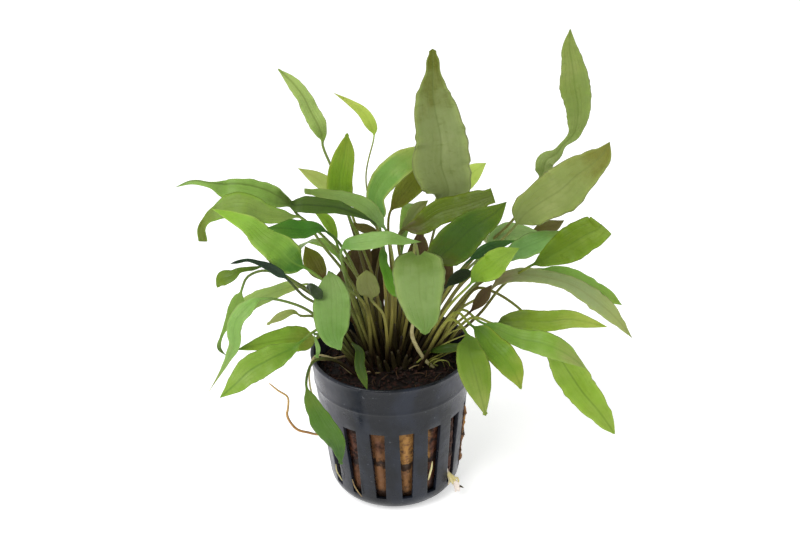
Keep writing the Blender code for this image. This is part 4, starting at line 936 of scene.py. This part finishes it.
    ("left_long", "leaf_green", "left_long", {"fold": 0.12, "wave": 0.4, "lean": (0.1, 0.85)},
     (-0.1, -0.7, 0.7), (-5, 2), [(-8, 3, 69), (-18, 2, 86), (-26, 1, 95)],
     [(-28, 0, 99, 2.5), (-31, -1, 101, 5.5), (-35, -1, 103, 6.5), (-42, -2, 105, 6.5),
      (-46, -2, 105, 5.5), (-50, -3, 107, 2), (-55, -3, 108, 1.5)], (-60, -4, 107)),
    ("left_curled", "leaf_grey", "curled", {"fold": 0.08, "wave": 0.4, "cut": 2.7},
     (-0.2, -0.7, 0.7), (-4.5, 0), [(-10, -1, 70), (-19, -5, 88), (-24, -8, 98)],
     [(-28, -9, 99, 3.2), (-32, -10, 100, 5.2), (-36, -11, 102, 7), (-39, -12, 104, 8),
      (-43, -12, 104, 8), (-47, -13, 103, 5), (-50, -13, 101, 3), (-52, -13, 98, 2.5)], (-52, -13, 94)),
    ("left_bright", "leaf_bright", "left_bright", {"fold": 0.12, "wave": 0.3},
     (-0.1, -0.8, 0.6), (-6, -0.5), [(-13, -3, 68), (-20, -4, 76), (-24, -5, 80)],
     [(-26, -5, 81, 4.5), (-28, -6, 83, 8.5), (-31, -8, 88, 9.5), (-35, -12, 94, 7.5),
      (-38, -16, 100, 5.5), (-42, -17, 103, 3.5)], (-48, -17, 106)),
    ("left_deep", "leaf_dark", "left_deep", {"fold": 0.12, "wave": 0.4},
     (0, -0.6, 0.8), (-3, -1.5), [(-8, -4, 73), (-13, -9, 89), (-16, -13, 95)],
     [(-19, -15, 98, 3), (-23, -16, 98, 6), (-27, -17, 99, 5.5)], (-33, -18, 100)),
    # Short leaves between the stalks
    ("olive_left", "leaf_olive", "olive_left", {"fold": 0.12, "wave": 0.3},
     (0, -0.95, 0.3), (-7.5, 3), [(-12, 4, 60), (-19, 6, 69)],
     [(-21, 6, 73, 5), (-23, 7, 77, 6)], (-25, 8, 81)),
    ("grey_crossing", "leaf_teal", "crossing", {"fold": 0.1, "wave": 0.4},
     (0, -0.7, 0.7), (-3.5, -3.5), [(-10, -3, 64), (-13, -12, 89)],
     [(-11, -14, 92, 3.5), (-7, -15, 93, 5), (-3, -16, 94, 5), (1, -17, 95, 4),
      (5, -17, 94, 2.5)], (10, -18, 94)),
    ("small_round", "leaf_grey", "dull", {"fold": 0.1, "wave": 0.2, "blunt": 1.2},
     (0, -0.95, 0.3), (-1.5, -4), [(-1, -9, 60), (-2, -10, 67), (-5, -11, 72)],
     [(-5, -11, 74, 5), (-6, -11, 77, 6.5), (-6, -11, 80, 5)], (-6, -11, 82)),
    ("thin_bright", "leaf_bright", "thin", {"fold": 0.14, "wave": 0.3},
     (0.2, -0.9, 0.3), (-1, -1.5), [(1, -4, 70), (-1, -4, 84), (-1, -7, 87)],
     [(-1, -11, 87, 2.5), (-1, -13, 85, 2.5), (0, -14, 82, 3), (1, -15, 79, 3.5),
      (2, -16, 77, 2.5)], (4, -16, 75)),
    ("brown_behind", "leaf_brown", "wilted", {"fold": 0.12, "wave": 0.3},
     (0, -0.95, 0.3), (-5.5, 7.5), [(-8, 12, 53), (-10, 14, 62)],
     [(-12, 14, 66, 4.5), (-12, 15, 70, 5.5)], (-12, 16, 75)),
    # The far left and the low left
    ("far_left_edge", "leaf_deep", "edge_on", {"fold": 0.14, "wave": 0.3},
     (-0.3, -0.8, 0.5), (-8, -1.5), [(-18, -8, 67), (-25, -9, 73), (-29, -10, 79)],
     [(-31, -10, 81, 2.5), (-34, -11, 84, 2.5), (-37, -12, 86, 1.5), (-40, -12, 87, 1),
      (-43, -13, 87, 1)], (-45, -14, 87)),
    ("far_left_small", "leaf_green", "far_small", {"fold": 0.12, "wave": 0.3, "blunt": 0.7},
     (-0.2, -0.6, 0.8), (-9, 1.5), [(-20, 0, 66), (-28, 0, 73), (-36, -1, 79)],
     [(-40, -2, 79, 1.5), (-44, -3, 79, 2), (-46, -4, 78, 4), (-49, -4, 77, 5),
      (-50, -4, 76, 3.5)], (-51, -4, 74)),
    ("left_droop_back", "leaf_teal", "droop", {"fold": 0.12, "wave": 0.4},
     (-0.3, -0.9, 0.3), (-11.5, 3), [(-19, 5, 61), (-26, 6, 67), (-32, 6, 72), (-38, 6, 74),
      (-43, 6, 72), (-45, 6, 68)],
     [(-46, 6, 65, 3.5), (-48, 6, 61, 4), (-51, 6, 55, 2), (-53, 6, 51, 1),
      (-54, 6, 47, 1.5)], (-52, 6, 44)),
    ("left_pale", "leaf_green", "left_pale", {"fold": 0.12, "wave": 0.4},
     (-0.1, -0.7, 0.7), (-10, 5), [(-18, 9, 61), (-25, 11, 66)],
     [(-28, 12, 65, 2), (-32, 13, 64, 4), (-37, 13, 62, 4.5), (-42, 13, 60, 5.5),
      (-47, 14, 56, 4.5)], (-53, 14, 49)),
    ("left_long_droop", "leaf_teal", "long_droop", {"fold": 0.12, "wave": 0.5},
     (-0.3, -0.85, 0.4), (-10.5, -0.5), [(-23, -4, 64), (-29, -6, 69), (-36, -8, 72)],
     [(-39, -9, 72, 2.5), (-42, -10, 70, 4.5), (-45, -11, 67, 5), (-46, -12, 64, 4.5), (-46, -13, 60, 4),
      (-48, -14, 56, 2.5), (-51, -15, 51, 1)], (-55, -16, 45)),
    ("left_tiny", "leaf_olive", "tiny", {"fold": 0.1, "wave": 0.2, "blunt": 0.6},
     (0, -0.8, 0.6), (-9.5, -3.5), [(-22, -8, 65), (-26, -12, 68)],
     [(-28, -13, 70, 1.5), (-32, -14, 69, 2.5)], (-36, -15, 67)),
    ("low_left_back", "leaf_olive", "low_back", {"fold": 0.12, "wave": 0.4},
     (-0.1, -0.75, 0.65), (-12, -2), [(-19, 2, 55), (-22, -3, 55)],
     [(-25, -4, 55, 6), (-28, -5, 56, 8), (-33, -7, 57, 7), (-39, -9, 57, 4.5)], (-46, -12, 57)),
    ("low_left_front", "leaf_green", "low_front", {"fold": 0.18, "wave": 0.45},
     (-0.2, -0.8, 0.55), (-8, -5.5), [(-20, -13, 64), (-25, -17, 63)],
     [(-28, -18, 61, 3), (-32, -20, 60, 6.5), (-36, -22, 59, 8), (-41, -24, 57, 8),
      (-45, -26, 54, 5.5)], (-50, -27, 50)),
    # Two half-hidden leaves
    ("brown_right", "leaf_brown", "wilted", {"fold": 0.14, "wave": 0.4},
     (0, -0.9, 0.4), (10, -2), [(19, -6, 59), (24, -5, 63)],
     [(27, -4, 66, 3.5), (29, -4, 69, 3.5)], (31, -4, 72)),
    ("light_left", "leaf_yellow", "bright", {"fold": 0.12, "wave": 0.2},
     (0, -0.8, 0.6), (-5.5, 4), [(-13, 5, 74), (-15, 7, 81)],
     [(-16, 8, 85, 2.5), (-18, 9, 89, 3.5)], (-22, 10, 92)),
    # Leaves that arch away at the back
    ("back_arching", "leaf_green", "back", {"fold": 0.14, "wave": 0.4},
     (0, 0, 1), (1.5, 10.5), [(4, 24, 66)],
     [(6, 32, 76, 4), (9, 46, 76, 6)], (11, 58, 64)),
    ("back_left_droop", "leaf_green", "back", {"fold": 0.14, "wave": 0.4},
     (0, 0, 1), (-5.5, 11), [(-12, 23, 60)],
     [(-17, 31, 67, 3.5), (-26, 41, 66, 5)], (-34, 50, 54)),
    ("back_right_droop", "leaf_dark", "meadow", {"fold": 0.14, "wave": 0.4},
     (0, 0, 1), (6, 10), [(15, 23, 61)],
     [(20, 31, 69, 6), (29, 41, 68, 8.5)], (36, 49, 56)),
    ("back_low", "leaf_dark", "back", {"fold": 0.14, "wave": 0.4},
     (0, 0, 1), (-2, 14), [(-3, 26, 52)],
     [(-5, 34, 56, 6), (-8, 44, 52, 7.5)], (-10, 54, 42)),
]

materials = {}


def add_leaf(name, finish, seed, look, course, replaced=()):
    """Put one leaf into the scene; each finish's material is made once."""
    if finish not in materials:
        materials[finish] = leaf_material(finish)
    points, faces, chart, from_rib = leaf_surface(seed, look, *course)
    numbers = {"rib_mm": from_rib}
    add_piece(name, points, outward(points, faces), materials[finish], replaced, chart, numbers)


for order, (name, slot, finish, look, *course) in enumerate(LEAVES):
    add_leaf("blade_" + name, finish, 1.7 * order, look, course, ("leaf_" + name,))

# The crown, where the stalks come out of the medium, is crowded with the torn brown stubs of old
# stalks, thin young stalks, withered blades that stayed between the others, and small leaves. They
# all grew there. The dark brown of the stubs and the withered blades is also painted shade deep in
# the crown. SMALL_LEAVES holds name and finish, then what follows a leaf's look in LEAVES.
STUB_COUNT = 64
STUB_START = 43.0
STUB_HEIGHTS = (6.0, 19.0)
STUB_RADII = (0.45, 0.8)
GOLDEN_ANGLE = 2.39996
CROWN_MIDDLE = (1.0, 3.5)
CROWN_RADIUS = 10.0
STUB_BROWN_AND_SHADE = (36, 26, 16)
STUB_OLIVE = (74, 66, 34)
SMALL_LOOK = {"fold": 0.12, "wave": 0.3, "blunt": 0.8}
SMALL_LEAVES = [
    ("round_tip", "deep", (-0.2, -0.9, 0.3), (-9, -3), [(-18, -9, 66), (-23.1, -16, 79.6)],
     [(-21.7, -20, 81.7, 2.6), (-20.4, -21.5, 81.2, 3.3), (-19.3, -22.5, 80.4, 3)], (-18.5, -23, 79.5)),
    ("pale_sliver", "pale", (-0.2, -0.95, 0.2), (-9, -6), [(-16, -11, 57), (-22, -16, 64)],
     [(-21.4, -20, 64, 1), (-20.9, -20.5, 61.9, 1.4), (-21.2, -20, 59.6, 1)], (-21.8, -19.5, 57.9)),
    ("brown_between", "brown", (0, -0.9, 0.3), (-3, 7), [(-4, 11, 66), (-1.8, 8, 82.1)],
     [(-3.5, 9, 84, 2), (-6.2, 9, 85.5, 3), (-8.6, 9, 86.5, 2)], (-10.3, 9, 87.6)),
    ("dark_between", "deep", (-0.1, -0.95, 0.2), (-6, 6.5), [(-9.1, 8, 47.7)],
     [(-9, 9, 50.4, 4.4), (-9.1, 9.5, 55.3, 6), (-8.5, 9.5, 59.9, 5)], (-8.1, 9, 63.7)),
    ("low_sprout", "shade", (0.1, -0.6, 0.8), (6, -2), [(10.5, -4, 49.2)],
     [(13.8, -7, 51.6, 2.2), (16.8, -8.5, 52.9, 3), (19.8, -9, 53.6, 2.4)], (22.8, -9, 54.9)),
]
YOUNG = [
    [(7, -3, 44), (12.5, -5, 50), (18.5, -5, 53.5), (23.5, -4, 55)],
    [(9, -3, 44), (13.5, -6, 48.5), (19, -6, 51.2), (23.5, -5, 52)],
    [(10, -1, 44), (14.5, -3, 51), (19, -3, 55.5), (23.5, -3, 57)],
    [(12, -3, 44), (16, -5, 48.3), (20, -5, 49.8), (23.5, -5, 50)],
    [(12, -5, 44), (11.8, -7, 47.2), (13.8, -7.5, 48.8), (15.8, -6, 46.6), (16.4, -5, 44)],
    [(14.2, -4, 44), (13, -6.5, 46.4), (14.6, -7, 47.8), (17.2, -6, 46.8), (18.2, -5, 44)],
]
YOUNG_RADIUS = 0.31
YOUNG_GREEN = (124, 122, 52)
YOUNG_YELLOW = (176, 180, 92)
WITHERED_SHADE_LOOK = {"fold": 0.2, "wave": 0.5, "blunt": 0.8}
WITHERED_SHADE_BLADES = [
    ((-0.1, -0.95, 0.3), (-5, 6), [(-6, 10, 57)], [(-8, 12, 64, 5.5), (-9, 13, 70, 8), (-8, 13, 76, 6.5)],
     (-6, 13, 83)),
    ((0.1, -0.95, 0.3), (-1, 8), [(-2, 13, 56)], [(-3, 15, 62, 5), (-4, 16, 68, 7), (-3, 16, 73, 5.5)],
     (-1, 16, 78)),
    ((0.2, -0.95, 0.2), (2, 9), [(5, 14, 58)], [(8, 16, 66, 4.5), (9, 17, 71, 6.5), (10, 18, 76, 5)],
     (10, 18, 80)),
    ((-0.2, -0.9, 0.2), (-8, 5), [(-11, 8, 52)], [(-13, 9, 57, 4.5), (-15, 10, 62, 6), (-15, 10, 67, 4.5)],
     (-14, 10, 72)),
    ((0.2, -0.9, 0.2), (8, 6), [(12, 11, 53)], [(14, 12, 59, 5), (16, 13, 65, 7), (18, 13, 70, 5)],
     (20, 13, 75)),
]


def tube(course, radii, sides=7):
    """A closed tube: rings of points at a radius round the course, square to it."""
    ahead = np.gradient(course, axis=0)
    ahead /= np.linalg.norm(ahead, axis=1)[:, None]
    steady = (1.0, 0.13, 0.2) if abs(ahead[:, 2].mean()) > 0.6 else (0.1, 0.2, 1.0)
    side = np.cross(ahead, steady)
    side /= np.linalg.norm(side, axis=1)[:, None]
    up = np.cross(side, ahead)
    angle = np.linspace(0.0, 2.0 * np.pi, sides, endpoint=False)[None, :, None]
    ring = side[:, None, :] * np.cos(angle) + up[:, None, :] * np.sin(angle)
    points = (course[:, None, :] + radii[:, None, None] * ring).reshape(-1, 3)
    return points, outward(points, closed_faces(len(course), sides))


def strand(points, step=0.7, sides=7):
    """A tube along a smooth curve through rows of x, y, z and radius."""
    curve, length = smooth_course(np.array(points, dtype=float), 0)[:2]
    at = np.linspace(0.0, length[-1], max(4, int(length[-1] / step)))
    even = np.stack([np.interp(at, length, curve[:, k]) for k in range(4)], 1)
    return tube(even[:, :3], np.maximum(even[:, 3], 0.03), sides)


def joined(parts, tones):
    """Several closed bodies as one list of points and faces, with each body's tone on its points."""
    bodies = [points for points, faces in parts]
    starts = np.cumsum([0] + [len(points) for points in bodies])
    shifted = [[[index + start for index in face] for face in faces]
               for (points, faces), start in zip(parts, starts)]
    tone = np.concatenate([np.full(len(points), value) for points, value in zip(bodies, tones)])
    return np.concatenate(bodies), sum(shifted, []), tone


def toned_material(name, first, second, feature_mm=1.2, roughness=0.6):
    """Plant matter whose tone runs from a first to a second colour, darker in a fine cloudy grain."""
    material, tree, shader, place = new_material(name)
    grain = noise(tree, place, feature_mm, 3.0)
    cloudy = ease(tree, grain, 0.3, 0.7, -0.2, 0.2)
    share = math_node(tree, "ADD", held_number(tree, "tone"), cloudy, True)
    colour = blend(tree, share, seen(first), seen(second))
    deep = blend(tree, 1.0, colour, (0.45, 0.4, 0.35, 1.0), "MULTIPLY")
    colour = blend(tree, ease(tree, grain, 0.5, 0.8, 0.0, 0.7), colour, deep)
    finish_surface(tree, shader, colour, roughness, 0.3, grain, 0.08)
    return material


def add_toned(name, parts, tones, material):
    """Put several closed bodies and their tones into the scene as one piece."""
    points, faces, tone = joined(parts, tones)
    add_piece(name, points, faces, material, numbers={"tone": tone})


def make_stubs(random):
    """Stubs stand on a spiral of golden angles and lean outward, thick at the foot and torn off."""
    parts = []
    for number in range(STUB_COUNT):
        angle = GOLDEN_ANGLE * number
        out = CROWN_RADIUS * np.sqrt((number + 0.5) / STUB_COUNT)
        ray = np.array((np.cos(angle), np.sin(angle), 0.0))
        foot = np.array((*CROWN_MIDDLE, STUB_START)) + out * ray
        lower = 1.0 - 0.35 * out / CROWN_RADIUS * (1.0 - ray[1])
        height = random.uniform(*STUB_HEIGHTS) * lower
        lean = ray * height * (0.15 + 0.4 * out / CROWN_RADIUS)
        lean = lean + random.uniform(-1.0, 1.0, 3) * (0.8, 0.8, 0.0)
        thick = random.uniform(*STUB_RADII)
        bend = foot + 0.35 * lean + (0, 0, 0.45 * height)
        end = foot + lean + (0, 0, height)
        rows = [(*foot, 1.2 * thick), (*bend, thick), (*end, 0.4 * thick)]
        parts.append(strand(rows, 1.0, 8))
    # Painted shade: the stubs' dark brown also fills the shade deep in the crown.
    brown = toned_material("old_stub_in_shade", STUB_BROWN_AND_SHADE, STUB_OLIVE)
    add_toned("crown_stubs", parts, random.uniform(0.0, 0.8, STUB_COUNT), brown)


def make_young(random):
    """Young stalks are thin tubes that narrow a little from point to point."""
    parts = []
    for run in YOUNG:
        rows = [(*point, YOUNG_RADIUS * (1.0 - 0.15 * step)) for step, point in enumerate(run)]
        parts.append(strand(rows, 0.7, 6))
    fresh = toned_material("young_stalk", YOUNG_GREEN, YOUNG_YELLOW, 2.5)
    add_toned("young_stalks", parts, random.uniform(0.1, 1.0, len(YOUNG)), fresh)


def make_crown():
    """The stubs and young stalks share one run of random numbers; the blades need none."""
    random = np.random.default_rng(4)
    make_stubs(random)
    make_young(random)
    # Painted shade: the withered blades' dark brown also fills the shade deep in the crown.
    for number, course in enumerate(WITHERED_SHADE_BLADES):
        name = "withered_%d" % (number + 1)
        add_leaf(name, "wilted", 2.3 * number, WITHERED_SHADE_LOOK, course)
    for number, (name, finish, *course) in enumerate(SMALL_LEAVES):
        add_leaf(name, finish, 1.3 * number, SMALL_LOOK, course)


make_crown()

# A tan root grew out of a slot on the left and a pale tuft of root ends out of one on the right.
# A cut stalk, a stolon and thin strands lie on the medium and in the slots, and fibres and crumbs
# of peat lie scattered over its top. Each point has a radius; each loose strand begins with its tone.
SIDE_ROOT = [
    (-20.5, -4.6, 20.0, 0.35), (-24.7, -5.2, 20.8, 0.36), (-26.9, -6.0, 22.1, 0.40),
    (-30.2, -6.0, 23.3, 0.42), (-32.3, -5.5, 25.7, 0.40), (-33.3, -5.0, 28.5, 0.40),
    (-32.9, -4.6, 30.5, 0.34), (-32.8, -4.0, 34.4, 0.32), (-35.6, -3.5, 36.6, 0.30),
    (-38.2, -3.0, 39.0, 0.20),
]
ROOT_BROWN_LEVEL = 24.0
ROOT_BROWN_REACH = 9.0
ROOT_BROWN = (166, 120, 66)
ROOT_TAN = (196, 160, 98)
TUFT = [
    [(15.6, -11.6, 10.6, 0.3), (16.6, -12.8, 9.4, 0.55), (17.6, -13.6, 7.6, 0.6), (18.2, -13.9, 6.4, 0.3)],
    [(15.9, -11.4, 9.6, 0.3), (17.2, -12.6, 9.0, 0.5), (18.4, -13.0, 8.0, 0.6), (18.9, -13.6, 6.8, 0.3)],
    [(16.2, -11.9, 8.6, 0.3), (17.0, -13.2, 7.0, 0.35), (16.6, -13.8, 5.8, 0.2)],
    [(16.8, -12.4, 8.8, 0.4), (18.6, -13.4, 6.2, 0.75), (19.2, -13.9, 4.8, 0.7), (18.8, -14.2, 3.2, 0.3)],
    [(17.6, -12.9, 8.0, 0.3), (19.4, -13.6, 6.4, 0.6), (19.8, -14.0, 4.9, 0.65), (19.9, -14.2, 3.4, 0.25)],
    [(18.4, -13.0, 8.2, 0.25), (19.6, -13.4, 8.0, 0.35), (20.0, -13.8, 6.6, 0.15)],
    [(16.0, -11.4, 11.2, 0.25), (16.3, -12.5, 10.6, 0.35), (16.2, -12.9, 9.2, 0.2)],
]
TUFT_TONES = (0.15, 0.0, 0.45, 0.9, 1.0, 0.1, 0.9)
TUFT_YELLOW = (196, 184, 122)
TUFT_WHITE = (226, 214, 206)
TUFT_ROUGHNESS = 0.16
TIP_DARK = (52, 44, 28)
TIP_TAN = (84, 76, 52)
TIP_TONE = 0.3
TUFT_TIP = [(19.6, -14.0, 5.6, 0.3), (20.6, -14.2, 5.3, 0.34), (21.4, -14.3, 4.8, 0.1)]
LOOSE = [
    (0.85, [(7.2, -5.5, 61.6, 0.5), (6.6, -5.8, 56.6, 0.6), (7.6, -6.0, 53.2, 0.62), (9.2, -6.0, 49.7, 0.62),
            (10.8, -6.0, 47.0, 0.6), (12.6, -5.5, 44.9, 0.55), (13.1, -5.2, 44.2, 0.45)]),
    (0.45, [(-24.3, -8.2, 48.4, 0.2), (-23.4, -7.2, 49.7, 0.38), (-20.5, -5.6, 48.6, 0.42),
            (-16.6, -3.0, 47.5, 0.42), (-11.0, 1.5, 45.6, 0.4), (-7.5, 3.0, 44.0, 0.3)]),
    (0.75, [(-12.0, -7.0, 44.0, 0.35), (-18.0, -9.0, 51.2, 0.34), (-22.6, -12.5, 54.2, 0.3),
            (-24.1, -17.0, 52.4, 0.3), (-24.1, -20.5, 49.6, 0.28), (-23.0, -24.2, 47.0, 0.26),
            (-22.0, -25.4, 45.0, 0.2)]),
    (0.8, [(9.4, 0.5, 46.0, 0.18), (10.8, -0.5, 46.9, 0.22), (12.4, 0.5, 46.7, 0.22),
           (13.0, 0.0, 45.0, 0.18)]),
    (0.9, [(9.8, -1.5, 44.6, 0.18), (11.0, -0.6, 46.2, 0.24), (12.2, -1.6, 45.4, 0.24),
           (13.6, -2.0, 44.4, 0.18)]),
    (0.7, [(12.6, 1.4, 46.6, 0.15), (11.9, -0.4, 46.0, 0.2), (11.2, -1.6, 45.2, 0.2),
           (11.0, -2.6, 44.3, 0.15)]),
    (0.6, [(14.2, -0.6, 44.3, 0.15), (13.9, -1.4, 45.6, 0.2), (12.8, -2.8, 45.4, 0.2),
           (12.0, -3.6, 44.3, 0.15)]),
    (0.35, [(5.4, -6.2, 44.6, 0.16), (7.2, -5.2, 45.0, 0.2), (9.0, -4.6, 44.7, 0.18),
            (10.0, -5.0, 44.2, 0.1)]),
    (0.3, [(-9.0, -8.0, 44.2, 0.15), (-7.0, -7.4, 44.9, 0.2), (-5.0, -7.8, 44.6, 0.2),
           (-3.4, -7.0, 44.1, 0.12)]),
    (1.0, [(11.6, -18.6, 18.6, 0.15), (11.3, -19.0, 16.4, 0.3), (10.7, -18.9, 13.8, 0.32),
           (10.2, -18.4, 11.4, 0.15)]),
    (0.9, [(-18.5, -12.6, 14.4, 0.12), (-18.3, -13.2, 12.2, 0.22), (-17.2, -13.6, 9.8, 0.2),
           (-16.8, -13.2, 8.4, 0.1)]),
    (0.25, [(-13.4, -17.4, 12.0, 0.12), (-12.8, -18.6, 10.4, 0.2), (-11.6, -19.0, 8.0, 0.2),
            (-10.6, -18.6, 6.0, 0.12)]),
]
LOOSE_BROWN = (110, 74, 40)
LOOSE_PALE = (196, 188, 136)
FIBRE_COUNT = 120
FIBRE_SPREAD = 22.0
FIBRE_LENGTHS = (1.0, 3.2)
FIBRE_RADII = (0.07, 0.16)
FIBRE_RISE = 0.35
CRUMB_COUNT = 520
CRUMB_SPREAD = 22.2
POT_INSIDE = 22.6
FIBRE_DARK = (34, 20, 14)
FIBRE_TAN = (98, 70, 46)


def make_roots():
    """Each root is a smooth tube that thins towards its end. The side root's tone falls evenly with
    the distance from its brown level; the tuft is pushed out and in by noise."""
    points, faces = strand(SIDE_ROOT, 0.5, 8)
    tone = np.clip(1.0 - np.abs(points[:, 2] - ROOT_BROWN_LEVEL) / ROOT_BROWN_REACH, 0.0, 1.0)
    tan = toned_material("root_tan", ROOT_TAN, ROOT_BROWN)
    add_piece("side_root_strand", points, faces, tan, ("side_root",), numbers={"tone": tone})
    points, faces, tone = joined([strand(rows, 0.3, 8) for rows in TUFT], TUFT_TONES)
    points += (TUFT_ROUGHNESS * lumps(points, 0.9, 7))[:, None]
    pale = toned_material("root_pale", TUFT_YELLOW, TUFT_WHITE)
    add_piece("slot_tuft", points, faces, pale, ("root_tuft",), numbers={"tone": tone})
    dark = toned_material("root_dark", TIP_DARK, TIP_TAN)
    add_toned("tuft_tip", [strand(TUFT_TIP, 0.3, 8)], [TIP_TONE], dark)
    brown = toned_material("strand", LOOSE_BROWN, LOOSE_PALE)
    loose = [strand(rows, 0.5, 8) for tone, rows in LOOSE]
    add_toned("loose_strands", loose, [tone for tone, rows in LOOSE], brown)


def make_fibres(random):
    """Each fibre is an arch at a random place and turn: it is bent aside and raised by one less the
    square of the place along it. What would pass through the pot's wall is drawn back inside."""
    share = np.linspace(-1.0, 1.0, 5)
    arch = 1.0 - share**2
    parts, tones = [], []
    for fibre in range(FIBRE_COUNT):
        r = FIBRE_SPREAD * np.sqrt(random.uniform(0.0, 1.0))
        a = random.uniform(0.0, 2.0 * np.pi)
        reach, turn = random.uniform(*FIBRE_LENGTHS), random.uniform(0.0, np.pi)
        along, aside = reach * share, random.uniform(-0.8, 0.8) * arch
        east = r * np.cos(a) + (along * np.cos(turn) - aside * np.sin(turn))
        north = r * np.sin(a) + (along * np.sin(turn) + aside * np.cos(turn))
        course = np.stack((east, north, medium_top(r) + 0.25 + FIBRE_RISE * arch), -1)
        out = np.linalg.norm(course[:, :2], axis=1)
        course[:, :2] *= np.minimum(1.0, POT_INSIDE / np.maximum(out, 0.1))[:, None]
        parts.append(tube(course, random.uniform(*FIBRE_RADII) * (1.0 - 0.6 * share**2), 5))
        tones.append(random.uniform(0.0, 1.0) ** 2)
    peat = toned_material("peat_fibre", FIBRE_DARK, FIBRE_TAN)
    add_toned("medium_fibres", parts, tones, peat)


def make_crumbs(random):
    """Each crumb is an octahedron whose corners are moved by random shares of its size."""
    corners = np.array([(1, 0, 0), (0, 1, 0), (-1, 0, 0), (0, -1, 0), (0, 0, 1), (0, 0, -1)], dtype=float)
    sides = [(0, 1, 4), (1, 2, 4), (2, 3, 4), (3, 0, 4), (1, 0, 5), (2, 1, 5), (3, 2, 5), (0, 3, 5)]
    r = CRUMB_SPREAD * np.sqrt(random.uniform(0.0, 1.0, CRUMB_COUNT))
    a = random.uniform(0.0, 2.0 * np.pi, CRUMB_COUNT)
    middle = np.stack((r * np.cos(a), r * np.sin(a), medium_top(r) + 0.1), -1)
    size = random.uniform(0.25, 0.75, (CRUMB_COUNT, 1, 1)) * random.uniform(0.6, 1.3, (CRUMB_COUNT, 6, 3))
    points = (middle[:, None, :] + corners[None] * size).reshape(-1, 3)
    starts = len(corners) * np.arange(CRUMB_COUNT)[:, None, None]
    faces = (np.array(sides)[None] + starts).reshape(-1, 3).tolist()
    tone = np.repeat(random.uniform(0.0, 1.0, CRUMB_COUNT), len(corners))
    peat = toned_material("peat_crumb", CRUST_DARK, CRUST_RED, 0.8, 0.75)
    add_piece("medium_crumbs", points, faces, peat, numbers={"tone": tone})


def make_litter():
    """The fibres and the crumbs share one run of random numbers."""
    random = np.random.default_rng(11)
    make_fibres(random)
    make_crumbs(random)


make_roots()
make_litter()
